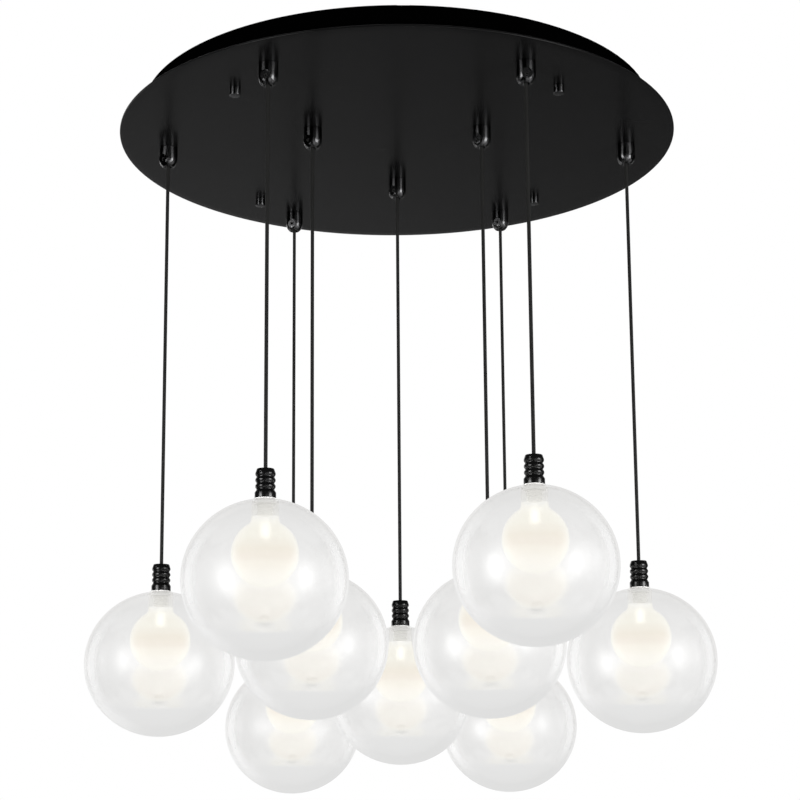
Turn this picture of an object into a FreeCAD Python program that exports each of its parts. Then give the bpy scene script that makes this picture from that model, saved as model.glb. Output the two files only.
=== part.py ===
import FreeCAD, Part
import math
import os
import types

import Sketcher

# Cluster pendant: a round ceiling canopy from which nine lamps hang on plain black cords.
# Origin: centre of the canopy's top face, in the ceiling plane. +Z up, so the lamps hang in -Z.
# -Y is the side that the picture is taken from. Lengths in millimetres, angles in degrees.

X, Y, Z = FreeCAD.Vector(1, 0, 0), FreeCAD.Vector(0, 1, 0), FreeCAD.Vector(0, 0, 1)
FULL_TURN = 360
RIGHT_ANGLE = 90

DRIVING_SIZES = {
    # canopy
    "plate_thickness": 2,
    "plate_edge_radius": 0.7,
    "plate_overhang": 23.5,
    "pan_depth": 31,
    "pan_sheet": 1.5,
    "pan_corner_radius": 4,
    "fixing_circle": 160,
    "fixing_hole_diameter": 5.5,
    "anchor_to_stud": 32,
    "stud_to_pan_side": 44.5,
    "stud_diameter": 6,
    "stud_reach_into_nut": 6,
    "spacer_diameter": 11,
    "nut_diameter": 11,
    "nut_height": 8.5,
    "nut_chamfer": 0.6,
    # plan of the nine cords: the room between globes gives the two rings, and they give the plate
    "inner_globe_gap": 24,
    "outer_globe_gap": 13,
    "cord_to_rim": 48,
    # cord grips, screwed into the plate
    "grip_diameter": 19.5,
    "grip_height": 21,
    "grip_straight_height": 12.3,
    "grip_end_diameter": 11,
    "grip_mouth_diameter": 8,
    "grip_mouth_depth": 3,
    "grip_screw_drop": 13.7,
    "grip_screw_diameter": 4,
    "grip_spotface_diameter": 10,
    "grip_spotface_depth": 2,
    "shank_diameter": 10,
    "washer_thickness": 0.8,
    "washer_diameter": 18,
    "lock_nut_height": 4,
    "lock_nut_width": 15,
    "shank_end_height": 1,
    # cords
    "cord_diameter": 3.6,
    "cord_bore_clearance": 0.4,
    "tail_bend_radius": 12.5,
    # wiring inside the canopy
    "box_wall": 2,
    "lid_thickness": 2,
    "lid_rim_height": 3,
    "lid_above_plate": 5.5,
    "terminal_diameter": 48,
    "terminal_below_cords": 5.8,
    "terminal_entry_depth": 5,
    "grommet_gap": 3.5,
    "grommet_diameter": 18,
    "grommet_bore": 14,
    "grommet_flange_diameter": 22,
    "grommet_flange_thickness": 1.5,
    "earth_radius": 75,
    "earth_stud_diameter": 4,
    "earth_stud_length": 12,
    "earth_nut_width": 7,
    "earth_nut_height": 3,
    # lamp socket
    "shell_height": 27,
    "shell_top_diameter": 15.7,
    "shell_shoulder_drop": 4.2,
    "shell_wall": 1.15,
    "rib_diameter": 18.4,
    "rib_groove_depth": 1.05,
    "rib_groove_radius": 2.3,
    "rib_edge_radius": 1.1,
    "lowest_groove_rise": 2.5,
    "highest_groove_drop": 3.3,
    "collar_diameter": 19.4,
    "collar_height": 5.6,
    "shell_cap_height": 9.5,
    "shell_screw_drop": 3.7,
    "shell_screw_diameter": 3,
    "screw_recess": 0.5,
    "fit_clearance": 0.1,
    "spigot_diameter": 14.8,
    "spigot_length": 15.5,
    "thread_pitch": 3,
    "thread_depth": 0.7,
    "seal_thickness": 0.8,
    "ring_thickness": 2.8,
    "ring_clearance": 0.5,
    "lamp_diameter": 13,
    "lamp_base_diameter": 11,
    "lamp_length": 24,
    "lamp_base_height": 5,
    "pin_diameter": 1.2,
    "pin_length": 6,
    "pin_spacing": 6,
    # glass
    "globe_diameter": 150,
    "globe_height": 145.4,
    "globe_wall": 1.8,
    "ball_diameter": 60.6,
    "ball_rise": 23.5,
    "ball_wall": 1.6,
    "neck_diameter": 24.6,
    "neck_top_drop": 0.1,
    "neck_opening_clearance": 0.6,
    "neck_edge_radius": 1.2,
    "neck_fillet": 7,
}

# Height of each globe's centre below the ceiling, from left to right in the picture.
HANG = [578, 521, 565, 633, 605, 565, 633, 510, 578]
# Each cord's ring and its direction in plan, in the same order.
PLAN = [
    ("outer", 180), ("outer", 240), ("inner", 210), ("outer", 120), ("inner", 90),
    ("inner", 330), ("outer", 60), ("outer", 300), ("outer", 0),
]
OUTER_COUNT = 6
INNER_COUNT = 3
INNER_FIRST_ANGLE = 90
STUD_COUNT = 4
STUD_FIRST_ANGLE = 45
RIB_GROOVES = 3
THREAD_GROOVES = 4
# Which way each grip's screw faces, in degrees to the right of the viewer's side.
GRIP_SCREW_TURNS = [-38, -14, -38, -20, -33, -35, -30, 6, 55]
SHELL_SCREW_TURN = -31
SUPPLY_ANGLE = 30
EARTH_ANGLE = 158
KEY_HOLE_SHARE = 0.29
MATCH = 0.01

doc = FreeCAD.newDocument("cluster_pendant")
sheet = doc.addObject("Spreadsheet::Sheet", "sizes")


class Size:
    """A number together with the sheet expression that gives it."""

    def __init__(self, number, text):
        self.number = float(number)
        self.text = text

    def __add__(self, other):
        return joined(self, "+", other)

    def __radd__(self, other):
        return joined(other, "+", self)

    def __sub__(self, other):
        return joined(self, "-", other)

    def __rsub__(self, other):
        return joined(other, "-", self)

    def __mul__(self, other):
        return joined(self, "*", other)

    def __rmul__(self, other):
        return joined(other, "*", self)

    def __truediv__(self, other):
        return joined(self, "/", other)

    def __neg__(self):
        return joined(0, "-", self)

    def root(self):
        return Size(math.sqrt(self.number), f"sqrt({self.text})")


def as_size(value):
    return value if isinstance(value, Size) else Size(value, f"{value}")


def joined(left, sign, right):
    left, right = as_size(left), as_size(right)
    results = {
        "+": left.number + right.number,
        "-": left.number - right.number,
        "*": left.number * right.number,
        "/": left.number / right.number if right.number else 0,
    }
    return Size(results[sign], f"({left.text} {sign} {right.text})")


def write_sheet():
    """One row per driving size: its alias and its value. Returns them as Size values."""
    rows = dict(DRIVING_SIZES)
    rows.update({f"hang_{number}": drop for number, drop in enumerate(HANG, 1)})
    for row, (alias, value) in enumerate(rows.items(), 1):
        sheet.set(f"A{row}", alias)
        sheet.set(f"B{row}", str(value))
        sheet.setAlias(f"B{row}", alias)
    doc.recompute()
    return types.SimpleNamespace(
        **{alias: Size(value, f"sizes.{alias}") for alias, value in rows.items()}
    )


d = write_sheet()

# Radii, places and heights that several pieces share.
# The inner cords are evenly spaced, and each outer cord stands 30 degrees to the side of an inner one.
beside = math.radians(30)
inner_ring_radius = (d.globe_diameter + d.inner_globe_gap) / math.sqrt(INNER_COUNT)
ring_step = d.globe_diameter + d.outer_globe_gap
inner_offset = inner_ring_radius * math.sin(beside)
outer_ring_radius = (
    inner_ring_radius * math.cos(beside)
    + (ring_step * ring_step - inner_offset * inner_offset).root()
)
plate_radius = outer_ring_radius + d.cord_to_rim
pan_radius = plate_radius - d.plate_overhang
stud_ring_radius = pan_radius - d.stud_to_pan_side
terminal_radius = d.terminal_diameter / 2
supply_offset = terminal_radius + d.grommet_gap + d.grommet_flange_diameter / 2
box_radius = terminal_radius + d.grommet_gap * 2 + d.grommet_flange_diameter + d.box_wall
plate_top = -d.pan_depth
plate_bottom = plate_top - d.plate_thickness
cord_radius = d.cord_diameter / 2
cord_bore_radius = cord_radius + d.cord_bore_clearance
shank_rise = d.plate_thickness + d.washer_thickness + d.lock_nut_height + d.shank_end_height
pivot_height = plate_bottom - d.grip_height + d.grip_mouth_depth
tail_end_height = pivot_height + cord_radius + d.cord_bore_clearance
tail_bend_start = plate_bottom + shank_rise
tail_height = tail_bend_start + d.tail_bend_radius
box_bottom = plate_top + d.lid_above_plate + d.lid_thickness
grip_radius = d.grip_diameter / 2
spotface_distance = grip_radius - d.grip_spotface_depth
shell_bore_radius = d.rib_diameter / 2 - d.rib_groove_depth - d.shell_wall
neck_bore_radius = d.neck_diameter / 2 - d.ball_wall
neck_top_rise = d.globe_height / 2 - d.neck_top_drop
collar_rise = neck_top_rise + d.seal_thickness
shell_top_rise = collar_rise + d.shell_height
holder_top_rise = shell_top_rise - d.shell_cap_height - d.fit_clearance
spigot_end_rise = collar_rise - d.spigot_length


# ---------------------------------------------------------------- small tools


def bind(target, path, size):
    target.setExpression(path, as_size(size).text)


def place(target, x=0, y=0, z=0, turn=0):
    """Puts a finished sub-part at a point, turned about the vertical."""
    x, y, z = as_size(x), as_size(y), as_size(z)
    base = FreeCAD.Vector(x.number, y.number, z.number)
    target.Placement = FreeCAD.Placement(base, FreeCAD.Rotation(Z, turn))
    for axis, value in (("x", x), ("y", y), ("z", z)):
        bind(target, f"Placement.Base.{axis}", value)
    return target


def along(radius, angle):
    """The x and y of a point at that radius and direction in plan."""
    cosine, sine = math.cos(math.radians(angle)), math.sin(math.radians(angle))
    return (
        radius * Size(cosine, f"cos({angle})"),
        radius * Size(sine, f"sin({angle})"),
    )


def new_body(label):
    body = doc.addObject("PartDesign::Body", label)
    body.Label = label
    return body


def origin_item(body, role):
    return next(item for item in body.Origin.OriginFeatures if item.Role == role)


def new_sketch(body, name, plane, offset=0):
    """A sketch on one of the body's own planes, moved along that plane's normal."""
    sketch = body.newObject("Sketcher::SketchObject", name)
    sketch.AttachmentSupport = [(origin_item(body, plane), "")]
    sketch.MapMode = "FlatFace"
    bind(sketch, "AttachmentOffset.Base.z", offset)
    return sketch


def pin_point(sketch, geometry, vertex, point):
    """Fixes a sketch point at (x, y), each bound to the sheet."""
    for kind, value in zip(("DistanceX", "DistanceY"), point):
        value = as_size(value)
        if value.number == 0:
            axis = -2 if kind == "DistanceX" else -1
            sketch.addConstraint(
                Sketcher.Constraint("PointOnObject", geometry, vertex, axis)
            )
            continue
        constraint = Sketcher.Constraint(kind, -1, 1, geometry, vertex, value.number)
        bind(sketch, f"Constraints[{sketch.addConstraint(constraint)}]", value)


def circle_at(sketch, point, radius):
    x, y = (as_size(value) for value in point)
    radius = as_size(radius)
    centre = FreeCAD.Vector(x.number, y.number, 0)
    circle = sketch.addGeometry(Part.Circle(centre, Z, radius.number), False)
    if x.number == 0 and y.number == 0:
        sketch.addConstraint(Sketcher.Constraint("Coincident", circle, 3, -1, 1))
    else:
        pin_point(sketch, circle, 3, (x, y))
    constraint = Sketcher.Constraint("Radius", circle, radius.number)
    bind(sketch, f"Constraints[{sketch.addConstraint(constraint)}]", radius)


def arc_between(start, end, radius, left_turn):
    """The shorter arc from start to end, turning left or right on the way."""
    chord = end - start
    half = chord.Length / 2
    rise = math.sqrt(max(radius * radius - half * half, 0))
    side = Z.cross(chord).normalize() * (1 if left_turn else -1)
    centre = (start + end) * 0.5 + side * rise
    first, last = (start, end) if left_turn else (end, start)
    angles = [math.atan2(p.y - centre.y, p.x - centre.x) for p in (first, last)]
    circle = Part.Circle(centre, Z, radius)
    return Part.ArcOfCircle(circle, angles[0], angles[1])


def outline(sketch, start, *steps):
    """A closed outline: each step is a corner, or (corner, radius, "left" or "right") for an arc."""
    corners = [start]
    bends = []
    for step in steps:
        is_arc = len(step) == 3
        corners.append(step[0] if is_arc else step)
        bends.append((as_size(step[1]), step[2] == "left") if is_arc else None)
    bends.append(None)
    points = [
        FreeCAD.Vector(as_size(x).number, as_size(y).number, 0) for x, y in corners
    ]
    ends = []
    for index, bend in enumerate(bends):
        here, there = points[index], points[(index + 1) % len(points)]
        if bend is None:
            piece = sketch.addGeometry(Part.LineSegment(here, there), False)
            ends.append((piece, 1, 2))
            continue
        radius, left_turn = bend
        arc = arc_between(here, there, radius.number, left_turn)
        piece = sketch.addGeometry(arc, False)
        ends.append((piece, 1, 2) if left_turn else (piece, 2, 1))
        constraint = Sketcher.Constraint("Radius", piece, radius.number)
        bind(sketch, f"Constraints[{sketch.addConstraint(constraint)}]", radius)
    for index, (piece, first, last) in enumerate(ends):
        next_piece, next_first, _ = ends[(index + 1) % len(ends)]
        sketch.addConstraint(
            Sketcher.Constraint("Coincident", piece, last, next_piece, next_first)
        )
        pin_point(sketch, piece, first, corners[index])


def revolve(body, name, start, *steps):
    """A turned piece: its half section, x out from the axis and y up, spun about Z."""
    sketch = new_sketch(body, f"{name}_section", "XZ_Plane")
    outline(sketch, start, *steps)
    feature = body.newObject("PartDesign::Revolution", name)
    feature.Profile = sketch
    feature.ReferenceAxis = (sketch, ["V_Axis"])
    feature.Angle = FULL_TURN
    doc.recompute()
    return feature


def pad_circle(body, name, radius, length, bottom=0):
    sketch = new_sketch(body, f"{name}_outline", "XY_Plane", bottom)
    circle_at(sketch, (0, 0), radius)
    feature = body.newObject("PartDesign::Pad", name)
    feature.Profile = sketch
    bind(feature, "Length", length)
    doc.recompute()
    return feature


def drill(body, name, plane, point, radius, away, offset=0, depth=None):
    """A round hole from a plane: towards the plane's normal if away, else against it.
    With no depth it goes through everything on that side."""
    before = body.Shape.Volume
    sketch = new_sketch(body, f"{name}_circle", plane, offset)
    circle_at(sketch, point, radius)
    feature = body.newObject("PartDesign::Pocket", name)
    feature.Profile = sketch
    feature.Reversed = away
    if depth is None:
        feature.Type = "ThroughAll"
    else:
        bind(feature, "Length", depth)
    doc.recompute()
    if not body.Shape.Volume < before:
        raise RuntimeError(f"{body.Label}: {name} cuts nothing")
    return feature


def repeat_round(body, name, feature, count):
    """The feature repeated evenly round the body's Z axis."""
    pattern = body.newObject("PartDesign::PolarPattern", name)
    pattern.Originals = [feature]
    pattern.Axis = (origin_item(body, "Z_Axis"), [""])
    pattern.Angle = FULL_TURN
    pattern.Occurrences = count
    body.Tip = pattern
    doc.recompute()
    return pattern


def turn_groove(body, name, centre, radius):
    """A round-bottomed groove turned into a revolved piece."""
    before = body.Shape.Volume
    sketch = new_sketch(body, f"{name}_circle", "XZ_Plane")
    circle_at(sketch, centre, radius)
    feature = body.newObject("PartDesign::Groove", name)
    feature.Profile = sketch
    feature.ReferenceAxis = (sketch, ["V_Axis"])
    feature.Angle = FULL_TURN
    doc.recompute()
    if not body.Shape.Volume < before:
        raise RuntimeError(f"{body.Label}: {name} cuts nothing")
    return feature


def repeat_down(body, name, feature, pitch, count):
    """The feature repeated downwards at a pitch."""
    pattern = body.newObject("PartDesign::LinearPattern", name)
    pattern.Originals = [feature]
    pattern.Direction = (origin_item(body, "Z_Axis"), [""])
    pattern.Reversed = True
    bind(pattern, "Length", pitch * (count - 1))
    pattern.Occurrences = count
    body.Tip = pattern
    doc.recompute()
    return pattern


def circle_edges(body, radius, heights):
    """Names of the body's round edges of that radius whose height is in the list."""
    found = []
    for index, edge in enumerate(body.Shape.Edges, 1):
        curve = edge.Curve
        if not isinstance(curve, Part.Circle):
            continue
        near = any(abs(curve.Center.z - height) < MATCH for height in heights)
        if near and abs(curve.Radius - radius) < MATCH:
            found.append(f"Edge{index}")
    return found


def round_edges(body, name, edges, radius):
    base = body.Tip
    feature = body.newObject("PartDesign::Fillet", name)
    feature.Base = (base, edges)
    bind(feature, "Radius", radius)
    doc.recompute()
    return feature


def cylinder(name, radius, height, bottom=0, x=0, y=0):
    rod = doc.addObject("Part::Cylinder", name)
    bind(rod, "Radius", radius)
    bind(rod, "Height", height)
    return place(rod, x, y, bottom)


def tube(name, outer_radius, inner_radius, height, bottom=0):
    ring = doc.addObject("Part::Cut", name)
    ring.Base = cylinder(f"{name}_outside", outer_radius, height, bottom)
    ring.Tool = cylinder(f"{name}_bore", inner_radius, height, bottom)
    return ring


def hex_nut(name, width, bore_radius, height, bottom=0):
    """A six-sided nut, width measured across its flats."""
    outside = doc.addObject("Part::Prism", f"{name}_outside")
    outside.Polygon = 6
    bind(outside, "Circumradius", width / 2 / math.cos(math.radians(30)))
    bind(outside, "Height", height)
    nut = doc.addObject("Part::Cut", name)
    nut.Base = place(outside, z=bottom)
    nut.Tool = cylinder(f"{name}_bore", bore_radius, height, bottom)
    return nut


def fused(name, *pieces):
    whole = doc.addObject("Part::MultiFuse", name)
    whole.Shapes = list(pieces)
    return whole


def group(label, members):
    """Identical or closely packed pieces that share one name, each its own solid."""
    bundle = doc.addObject("Part::Compound", label)
    bundle.Label = label
    bundle.Links = members
    return bundle


# ---------------------------------------------------------------- canopy


def canopy_plate():
    """The wide round plate: sheet steel with a softened rim and holes for grips and studs."""
    body = new_body("canopy_plate")
    pad_circle(body, "plate_sheet", plate_radius, d.plate_thickness)
    rim = circle_edges(body, plate_radius.number, (0, d.plate_thickness.number))
    round_edges(body, "plate_rim", rim, d.plate_edge_radius)
    grip_hole = d.shank_diameter / 2 + d.fit_clearance
    stud_hole = d.stud_diameter / 2 + d.fit_clearance
    stud_place = along(stud_ring_radius, STUD_FIRST_ANGLE)
    holes = [
        ("outer_hole", (outer_ring_radius, 0), grip_hole, OUTER_COUNT),
        ("inner_hole", (0, inner_ring_radius), grip_hole, INNER_COUNT),
        ("stud_hole", stud_place, stud_hole, STUD_COUNT),
    ]
    for name, point, radius, count in holes:
        hole = drill(body, name, "XY_Plane", point, radius, away=True)
        repeat_round(body, f"{name}s", hole, count)
    return place(body, z=plate_bottom)


def ceiling_pan():
    """The shallow pan that is screwed to the ceiling: a flat top and a plain side wall."""
    body = new_body("ceiling_pan")
    side = pan_radius
    corner = d.pan_corner_radius
    inside = side - d.pan_sheet
    revolve(
        body,
        "pan_sheet",
        (0, 0),
        (0, -d.pan_sheet),
        (side - corner, -d.pan_sheet),
        ((inside, -corner), corner - d.pan_sheet, "right"),
        (inside, -d.pan_depth),
        (side, -d.pan_depth),
        (side, -corner),
        ((side - corner, 0), corner, "left"),
    )
    supply = along(supply_offset, SUPPLY_ANGLE)
    drill(body, "supply_hole", "XY_Plane", supply, d.grommet_diameter / 2, away=False)
    anchor_radius = stud_ring_radius - d.anchor_to_stud
    for name, ring in (("fixing", d.fixing_circle / 2), ("anchor", anchor_radius)):
        point = along(ring, STUD_FIRST_ANGLE)
        radius = d.fixing_hole_diameter / 2
        hole = drill(body, f"{name}_hole", "XY_Plane", point, radius, away=False)
        repeat_round(body, f"{name}_holes", hole, STUD_COUNT)
    return body


def stud_places():
    turns = range(STUD_FIRST_ANGLE, FULL_TURN, FULL_TURN // STUD_COUNT)
    return [along(stud_ring_radius, angle) for angle in turns]


def pan_studs():
    """Four threaded studs welded under the pan's top."""
    length = d.pan_depth - d.pan_sheet + d.plate_thickness + d.stud_reach_into_nut
    bottom = plate_bottom - d.stud_reach_into_nut
    return group(
        "pan_studs",
        [
            cylinder(f"pan_stud_{n}", d.stud_diameter / 2, length, bottom, *point)
            for n, point in enumerate(stud_places(), 1)
        ],
    )


def stud_spacers():
    """Sleeves on the studs that keep the plate against the pan's edge without bending."""
    bore = d.stud_diameter / 2 + d.fit_clearance
    height = d.pan_depth - d.pan_sheet
    members = []
    for n, (x, y) in enumerate(stud_places(), 1):
        sleeve = tube(f"stud_spacer_{n}", d.spacer_diameter / 2, bore, height)
        members.append(place(sleeve, x, y, plate_top))
    return group("stud_spacers", members)


def canopy_nuts():
    """Four blind cap nuts under the plate."""
    members = []
    outer = d.nut_diameter / 2
    bore = d.stud_diameter / 2 + d.fit_clearance / 2
    chamfer = d.nut_chamfer
    for n, (x, y) in enumerate(stud_places(), 1):
        body = new_body(f"canopy_nut_{n}")
        revolve(
            body,
            f"nut_{n}",
            (0, -d.nut_height),
            (outer - chamfer, -d.nut_height),
            (outer, chamfer - d.nut_height),
            (outer, 0),
            (bore, 0),
            (bore, -d.stud_reach_into_nut),
            (0, -d.stud_reach_into_nut),
        )
        members.append(place(body, x, y, plate_bottom))
    return group("canopy_nuts", members)


# ---------------------------------------------------------------- cord grips


def ring_radius(ring):
    return outer_ring_radius if ring == "outer" else inner_ring_radius


def cord_place(number):
    """The x and y of a cord in plan."""
    ring, angle = PLAN[number - 1]
    return along(ring_radius(ring), angle)


def cord_grip(number):
    """A turned gland: threaded shank through the plate, round body, curved nose, flared mouth."""
    body = new_body(f"cord_grip_{number}")
    nose_end = d.grip_end_diameter / 2
    nose_drop = d.grip_height - d.grip_straight_height
    inset = grip_radius - nose_end
    nose_radius = (inset * inset + nose_drop * nose_drop) / (2 * inset)
    revolve(
        body,
        f"grip_{number}",
        (cord_bore_radius, shank_rise),
        (cord_bore_radius, d.grip_mouth_depth - d.grip_height),
        (d.grip_mouth_diameter / 2, -d.grip_height),
        (nose_end, -d.grip_height),
        ((grip_radius, -d.grip_straight_height), nose_radius, "left"),
        (grip_radius, 0),
        (d.shank_diameter / 2, 0),
        (d.shank_diameter / 2, shank_rise),
    )
    screw_centre = (0, -d.grip_screw_drop)
    drill(
        body,
        f"spotface_{number}",
        "XZ_Plane",
        screw_centre,
        d.grip_spotface_diameter / 2,
        away=True,
        offset=spotface_distance,
    )
    drill(
        body,
        f"screw_hole_{number}",
        "XZ_Plane",
        screw_centre,
        d.grip_screw_diameter / 2,
        away=False,
        offset=spotface_distance,
        depth=spotface_distance,
    )
    return place(body, *cord_place(number), plate_bottom, GRIP_SCREW_TURNS[number - 1])


def socket_screw(name, diameter, tip, head, height, turn, x, y, z):
    """A grub screw lying towards the viewer's side, with a six-sided key hole."""
    length = head - tip
    key = doc.addObject("Part::Prism", f"{name}_key")
    key.Polygon = 6
    bind(key, "Circumradius", diameter * KEY_HOLE_SHARE)
    bind(key, "Height", length / 2)
    shaft = cylinder(f"{name}_shaft", diameter / 2 - d.fit_clearance, length)
    screw = doc.addObject("Part::Cut", f"{name}_body")
    screw.Base = shaft
    screw.Tool = place(key, z=length / 2)
    screw.Placement = FreeCAD.Placement(
        FreeCAD.Vector(0, -tip.number, height.number), FreeCAD.Rotation(X, RIGHT_ANGLE)
    )
    bind(screw, "Placement.Base.y", -tip)
    bind(screw, "Placement.Base.z", height)
    return place(group(name, [screw]), x, y, z, turn)


def grip_screws():
    """The grub screws that hold the cords at their set height."""
    members = []
    for number in range(1, len(PLAN) + 1):
        x, y = cord_place(number)
        members.append(
            socket_screw(
                f"grip_screw_{number}",
                d.grip_screw_diameter,
                cord_radius,
                spotface_distance - d.screw_recess,
                -d.grip_screw_drop,
                GRIP_SCREW_TURNS[number - 1],
                x,
                y,
                plate_bottom,
            )
        )
    return group("grip_screws", members)


def grip_washers():
    members = []
    for number in range(1, len(PLAN) + 1):
        x, y = cord_place(number)
        bore = d.shank_diameter / 2 + d.fit_clearance
        ring = tube(f"grip_washer_{number}", d.washer_diameter / 2, bore, d.washer_thickness)
        members.append(place(ring, x, y, plate_top))
    return group("grip_washers", members)


def grip_lock_nuts():
    members = []
    for number in range(1, len(PLAN) + 1):
        x, y = cord_place(number)
        bore = d.shank_diameter / 2 + d.fit_clearance / 2
        nut = hex_nut(f"grip_lock_nut_{number}", d.lock_nut_width, bore, d.lock_nut_height)
        members.append(place(nut, x, y, plate_top + d.washer_thickness))
    return group("grip_lock_nuts", members)


def cord_tail(number):
    """The fixed end of a cord: up through its grip, over a bend and in to the terminal."""
    ring, angle = PLAN[number - 1]
    reach = ring_radius(ring)
    bend_centre = reach - d.tail_bend_radius
    end = terminal_radius - d.terminal_entry_depth
    upright = cylinder(
        f"tail_upright_{number}",
        cord_radius,
        tail_bend_start - tail_end_height,
        tail_end_height,
        x=reach,
    )
    bend = doc.addObject("Part::Torus", f"tail_bend_{number}")
    bind(bend, "Radius1", d.tail_bend_radius)
    bind(bend, "Radius2", cord_radius)
    bend.Angle3 = RIGHT_ANGLE
    bend.Placement = FreeCAD.Placement(
        FreeCAD.Vector(bend_centre.number, 0, tail_bend_start.number),
        FreeCAD.Rotation(X, RIGHT_ANGLE),
    )
    bind(bend, "Placement.Base.x", bend_centre)
    bind(bend, "Placement.Base.z", tail_bend_start)
    level = doc.addObject("Part::Cylinder", f"tail_level_{number}")
    bind(level, "Radius", cord_radius)
    bind(level, "Height", bend_centre - end)
    level.Placement = FreeCAD.Placement(
        FreeCAD.Vector(end.number, 0, tail_height.number), FreeCAD.Rotation(Y, RIGHT_ANGLE)
    )
    bind(level, "Placement.Base.x", end)
    bind(level, "Placement.Base.z", tail_height)
    return place(fused(f"cord_tail_{number}", upright, bend, level), turn=angle)


# ---------------------------------------------------------------- wiring in the canopy


def radial_holes(body, radius, start_at):
    """Nine sideways holes, one in line with each cord, from a distance outwards."""
    outer = drill(
        body, "outer_entry", "YZ_Plane", (0, tail_height), radius, away=True, offset=start_at
    )
    repeat_round(body, "outer_entries", outer, OUTER_COUNT)
    inner = drill(
        body, "inner_entry", "XZ_Plane", (0, tail_height), radius, away=False, offset=-start_at
    )
    repeat_round(body, "inner_entries", inner, INNER_COUNT)


def junction_box():
    """A moulded cup that opens downwards, with an entry for each cord and the supply hole."""
    body = new_body("junction_box")
    top = -d.pan_sheet
    inside = box_radius - d.box_wall
    revolve(
        body,
        "box_cup",
        (0, top),
        (0, top - d.box_wall),
        (inside, top - d.box_wall),
        (inside, box_bottom),
        (box_radius, box_bottom),
        (box_radius, top),
    )
    radial_holes(body, cord_bore_radius, terminal_radius)
    supply = along(supply_offset, SUPPLY_ANGLE)
    drill(body, "supply_hole", "XY_Plane", supply, d.grommet_diameter / 2, away=False)
    return body


def junction_lid():
    """A flat lid with a rim that fits inside the box's wall."""
    body = new_body("junction_lid")
    lid_bottom = box_bottom - d.lid_thickness
    rim_top = box_bottom + d.lid_rim_height
    rim = box_radius - d.box_wall - d.fit_clearance
    revolve(
        body,
        "lid_disc",
        (0, box_bottom),
        (0, lid_bottom),
        (box_radius, lid_bottom),
        (box_radius, box_bottom),
        (rim, box_bottom),
        (rim, rim_top),
        (rim - d.box_wall, rim_top),
        (rim - d.box_wall, box_bottom),
    )
    return body


def terminal_block():
    """A round ceramic terminal with a blind entry for each cord."""
    body = new_body("terminal_block")
    top = -d.pan_sheet - d.box_wall
    bottom = tail_height - d.terminal_below_cords
    pad_circle(body, "block", terminal_radius, top - bottom, bottom)
    entry_end = terminal_radius - d.terminal_entry_depth
    radial_holes(body, cord_radius + d.fit_clearance, entry_end)
    return body


def supply_grommet():
    """A flanged bush in the supply hole, level with the ceiling."""
    body = new_body("supply_grommet")
    bore = d.grommet_bore / 2
    through = d.pan_sheet + d.box_wall
    bottom = -through - d.grommet_flange_thickness
    revolve(
        body,
        "grommet",
        (bore, 0),
        (bore, bottom),
        (d.grommet_flange_diameter / 2, bottom),
        (d.grommet_flange_diameter / 2, -through),
        (d.grommet_diameter / 2, -through),
        (d.grommet_diameter / 2, 0),
    )
    return place(body, *along(supply_offset, SUPPLY_ANGLE))


def earth_stud():
    """The welded earth stud with its washer and nut."""
    radius = d.earth_stud_diameter / 2
    bottom = -d.pan_sheet - d.earth_stud_length
    bore = radius + d.fit_clearance / 2
    washer_bottom = -d.pan_sheet - d.washer_thickness
    stud = cylinder("earth_stud_rod", radius, d.earth_stud_length, bottom)
    washer = tube(
        "earth_washer", d.earth_nut_width / 2, bore, d.washer_thickness, washer_bottom
    )
    nut = hex_nut(
        "earth_nut",
        d.earth_nut_width,
        bore,
        d.earth_nut_height,
        washer_bottom - d.earth_nut_height,
    )
    return place(
        group("earth_stud", [stud, washer, nut]), *along(d.earth_radius, EARTH_ANGLE)
    )


# ---------------------------------------------------------------- one hanging lamp
# Each piece is drawn about the globe's centre and then placed at its cord.


def cord(number, hang):
    """The straight hanging cord. Its round top end sits in the grip's flared mouth."""
    bottom = holder_top_rise
    top = hang + pivot_height
    rod = cylinder(f"cord_rod_{number}", cord_radius, top - bottom, bottom)
    end = doc.addObject("Part::Sphere", f"cord_end_{number}")
    bind(end, "Radius", cord_radius)
    return fused(f"cord_{number}", rod, place(end, z=top))


def socket_shell(number):
    """The ribbed metal shell: tapered top, rounded ribs, plain collar, bored from below."""
    body = new_body(f"socket_shell_{number}")
    top = shell_top_rise
    shoulder = top - d.shell_shoulder_drop
    collar_top = collar_rise + d.collar_height
    cavity_top = top - d.shell_cap_height
    rib = d.rib_diameter / 2
    revolve(
        body,
        f"shell_{number}",
        (cord_radius + d.fit_clearance, top),
        (cord_radius + d.fit_clearance, cavity_top),
        (shell_bore_radius, cavity_top),
        (shell_bore_radius, collar_rise),
        (d.collar_diameter / 2, collar_rise),
        (d.collar_diameter / 2, collar_top),
        (rib, collar_top),
        (rib, shoulder),
        (d.shell_top_diameter / 2, top),
    )
    highest = shoulder - d.highest_groove_drop
    pitch = (highest - collar_top - d.lowest_groove_rise) / (RIB_GROOVES - 1)
    centre = rib - d.rib_groove_depth + d.rib_groove_radius
    groove = turn_groove(body, f"rib_groove_{number}", (centre, highest), d.rib_groove_radius)
    repeat_down(body, f"rib_grooves_{number}", groove, pitch, RIB_GROOVES)
    half_width = math.sqrt(d.rib_groove_radius.number**2 - (centre - rib).number ** 2)
    lips = [
        highest.number - step * pitch.number + side * half_width
        for step in range(RIB_GROOVES)
        for side in (-1, 1)
    ]
    crests = circle_edges(body, rib.number, lips)
    round_edges(body, f"rib_crests_{number}", crests, d.rib_edge_radius)
    drill(
        body,
        f"shell_screw_hole_{number}",
        "XZ_Plane",
        (0, top - d.shell_screw_drop),
        d.shell_screw_diameter / 2,
        away=True,
    )
    return body


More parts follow.
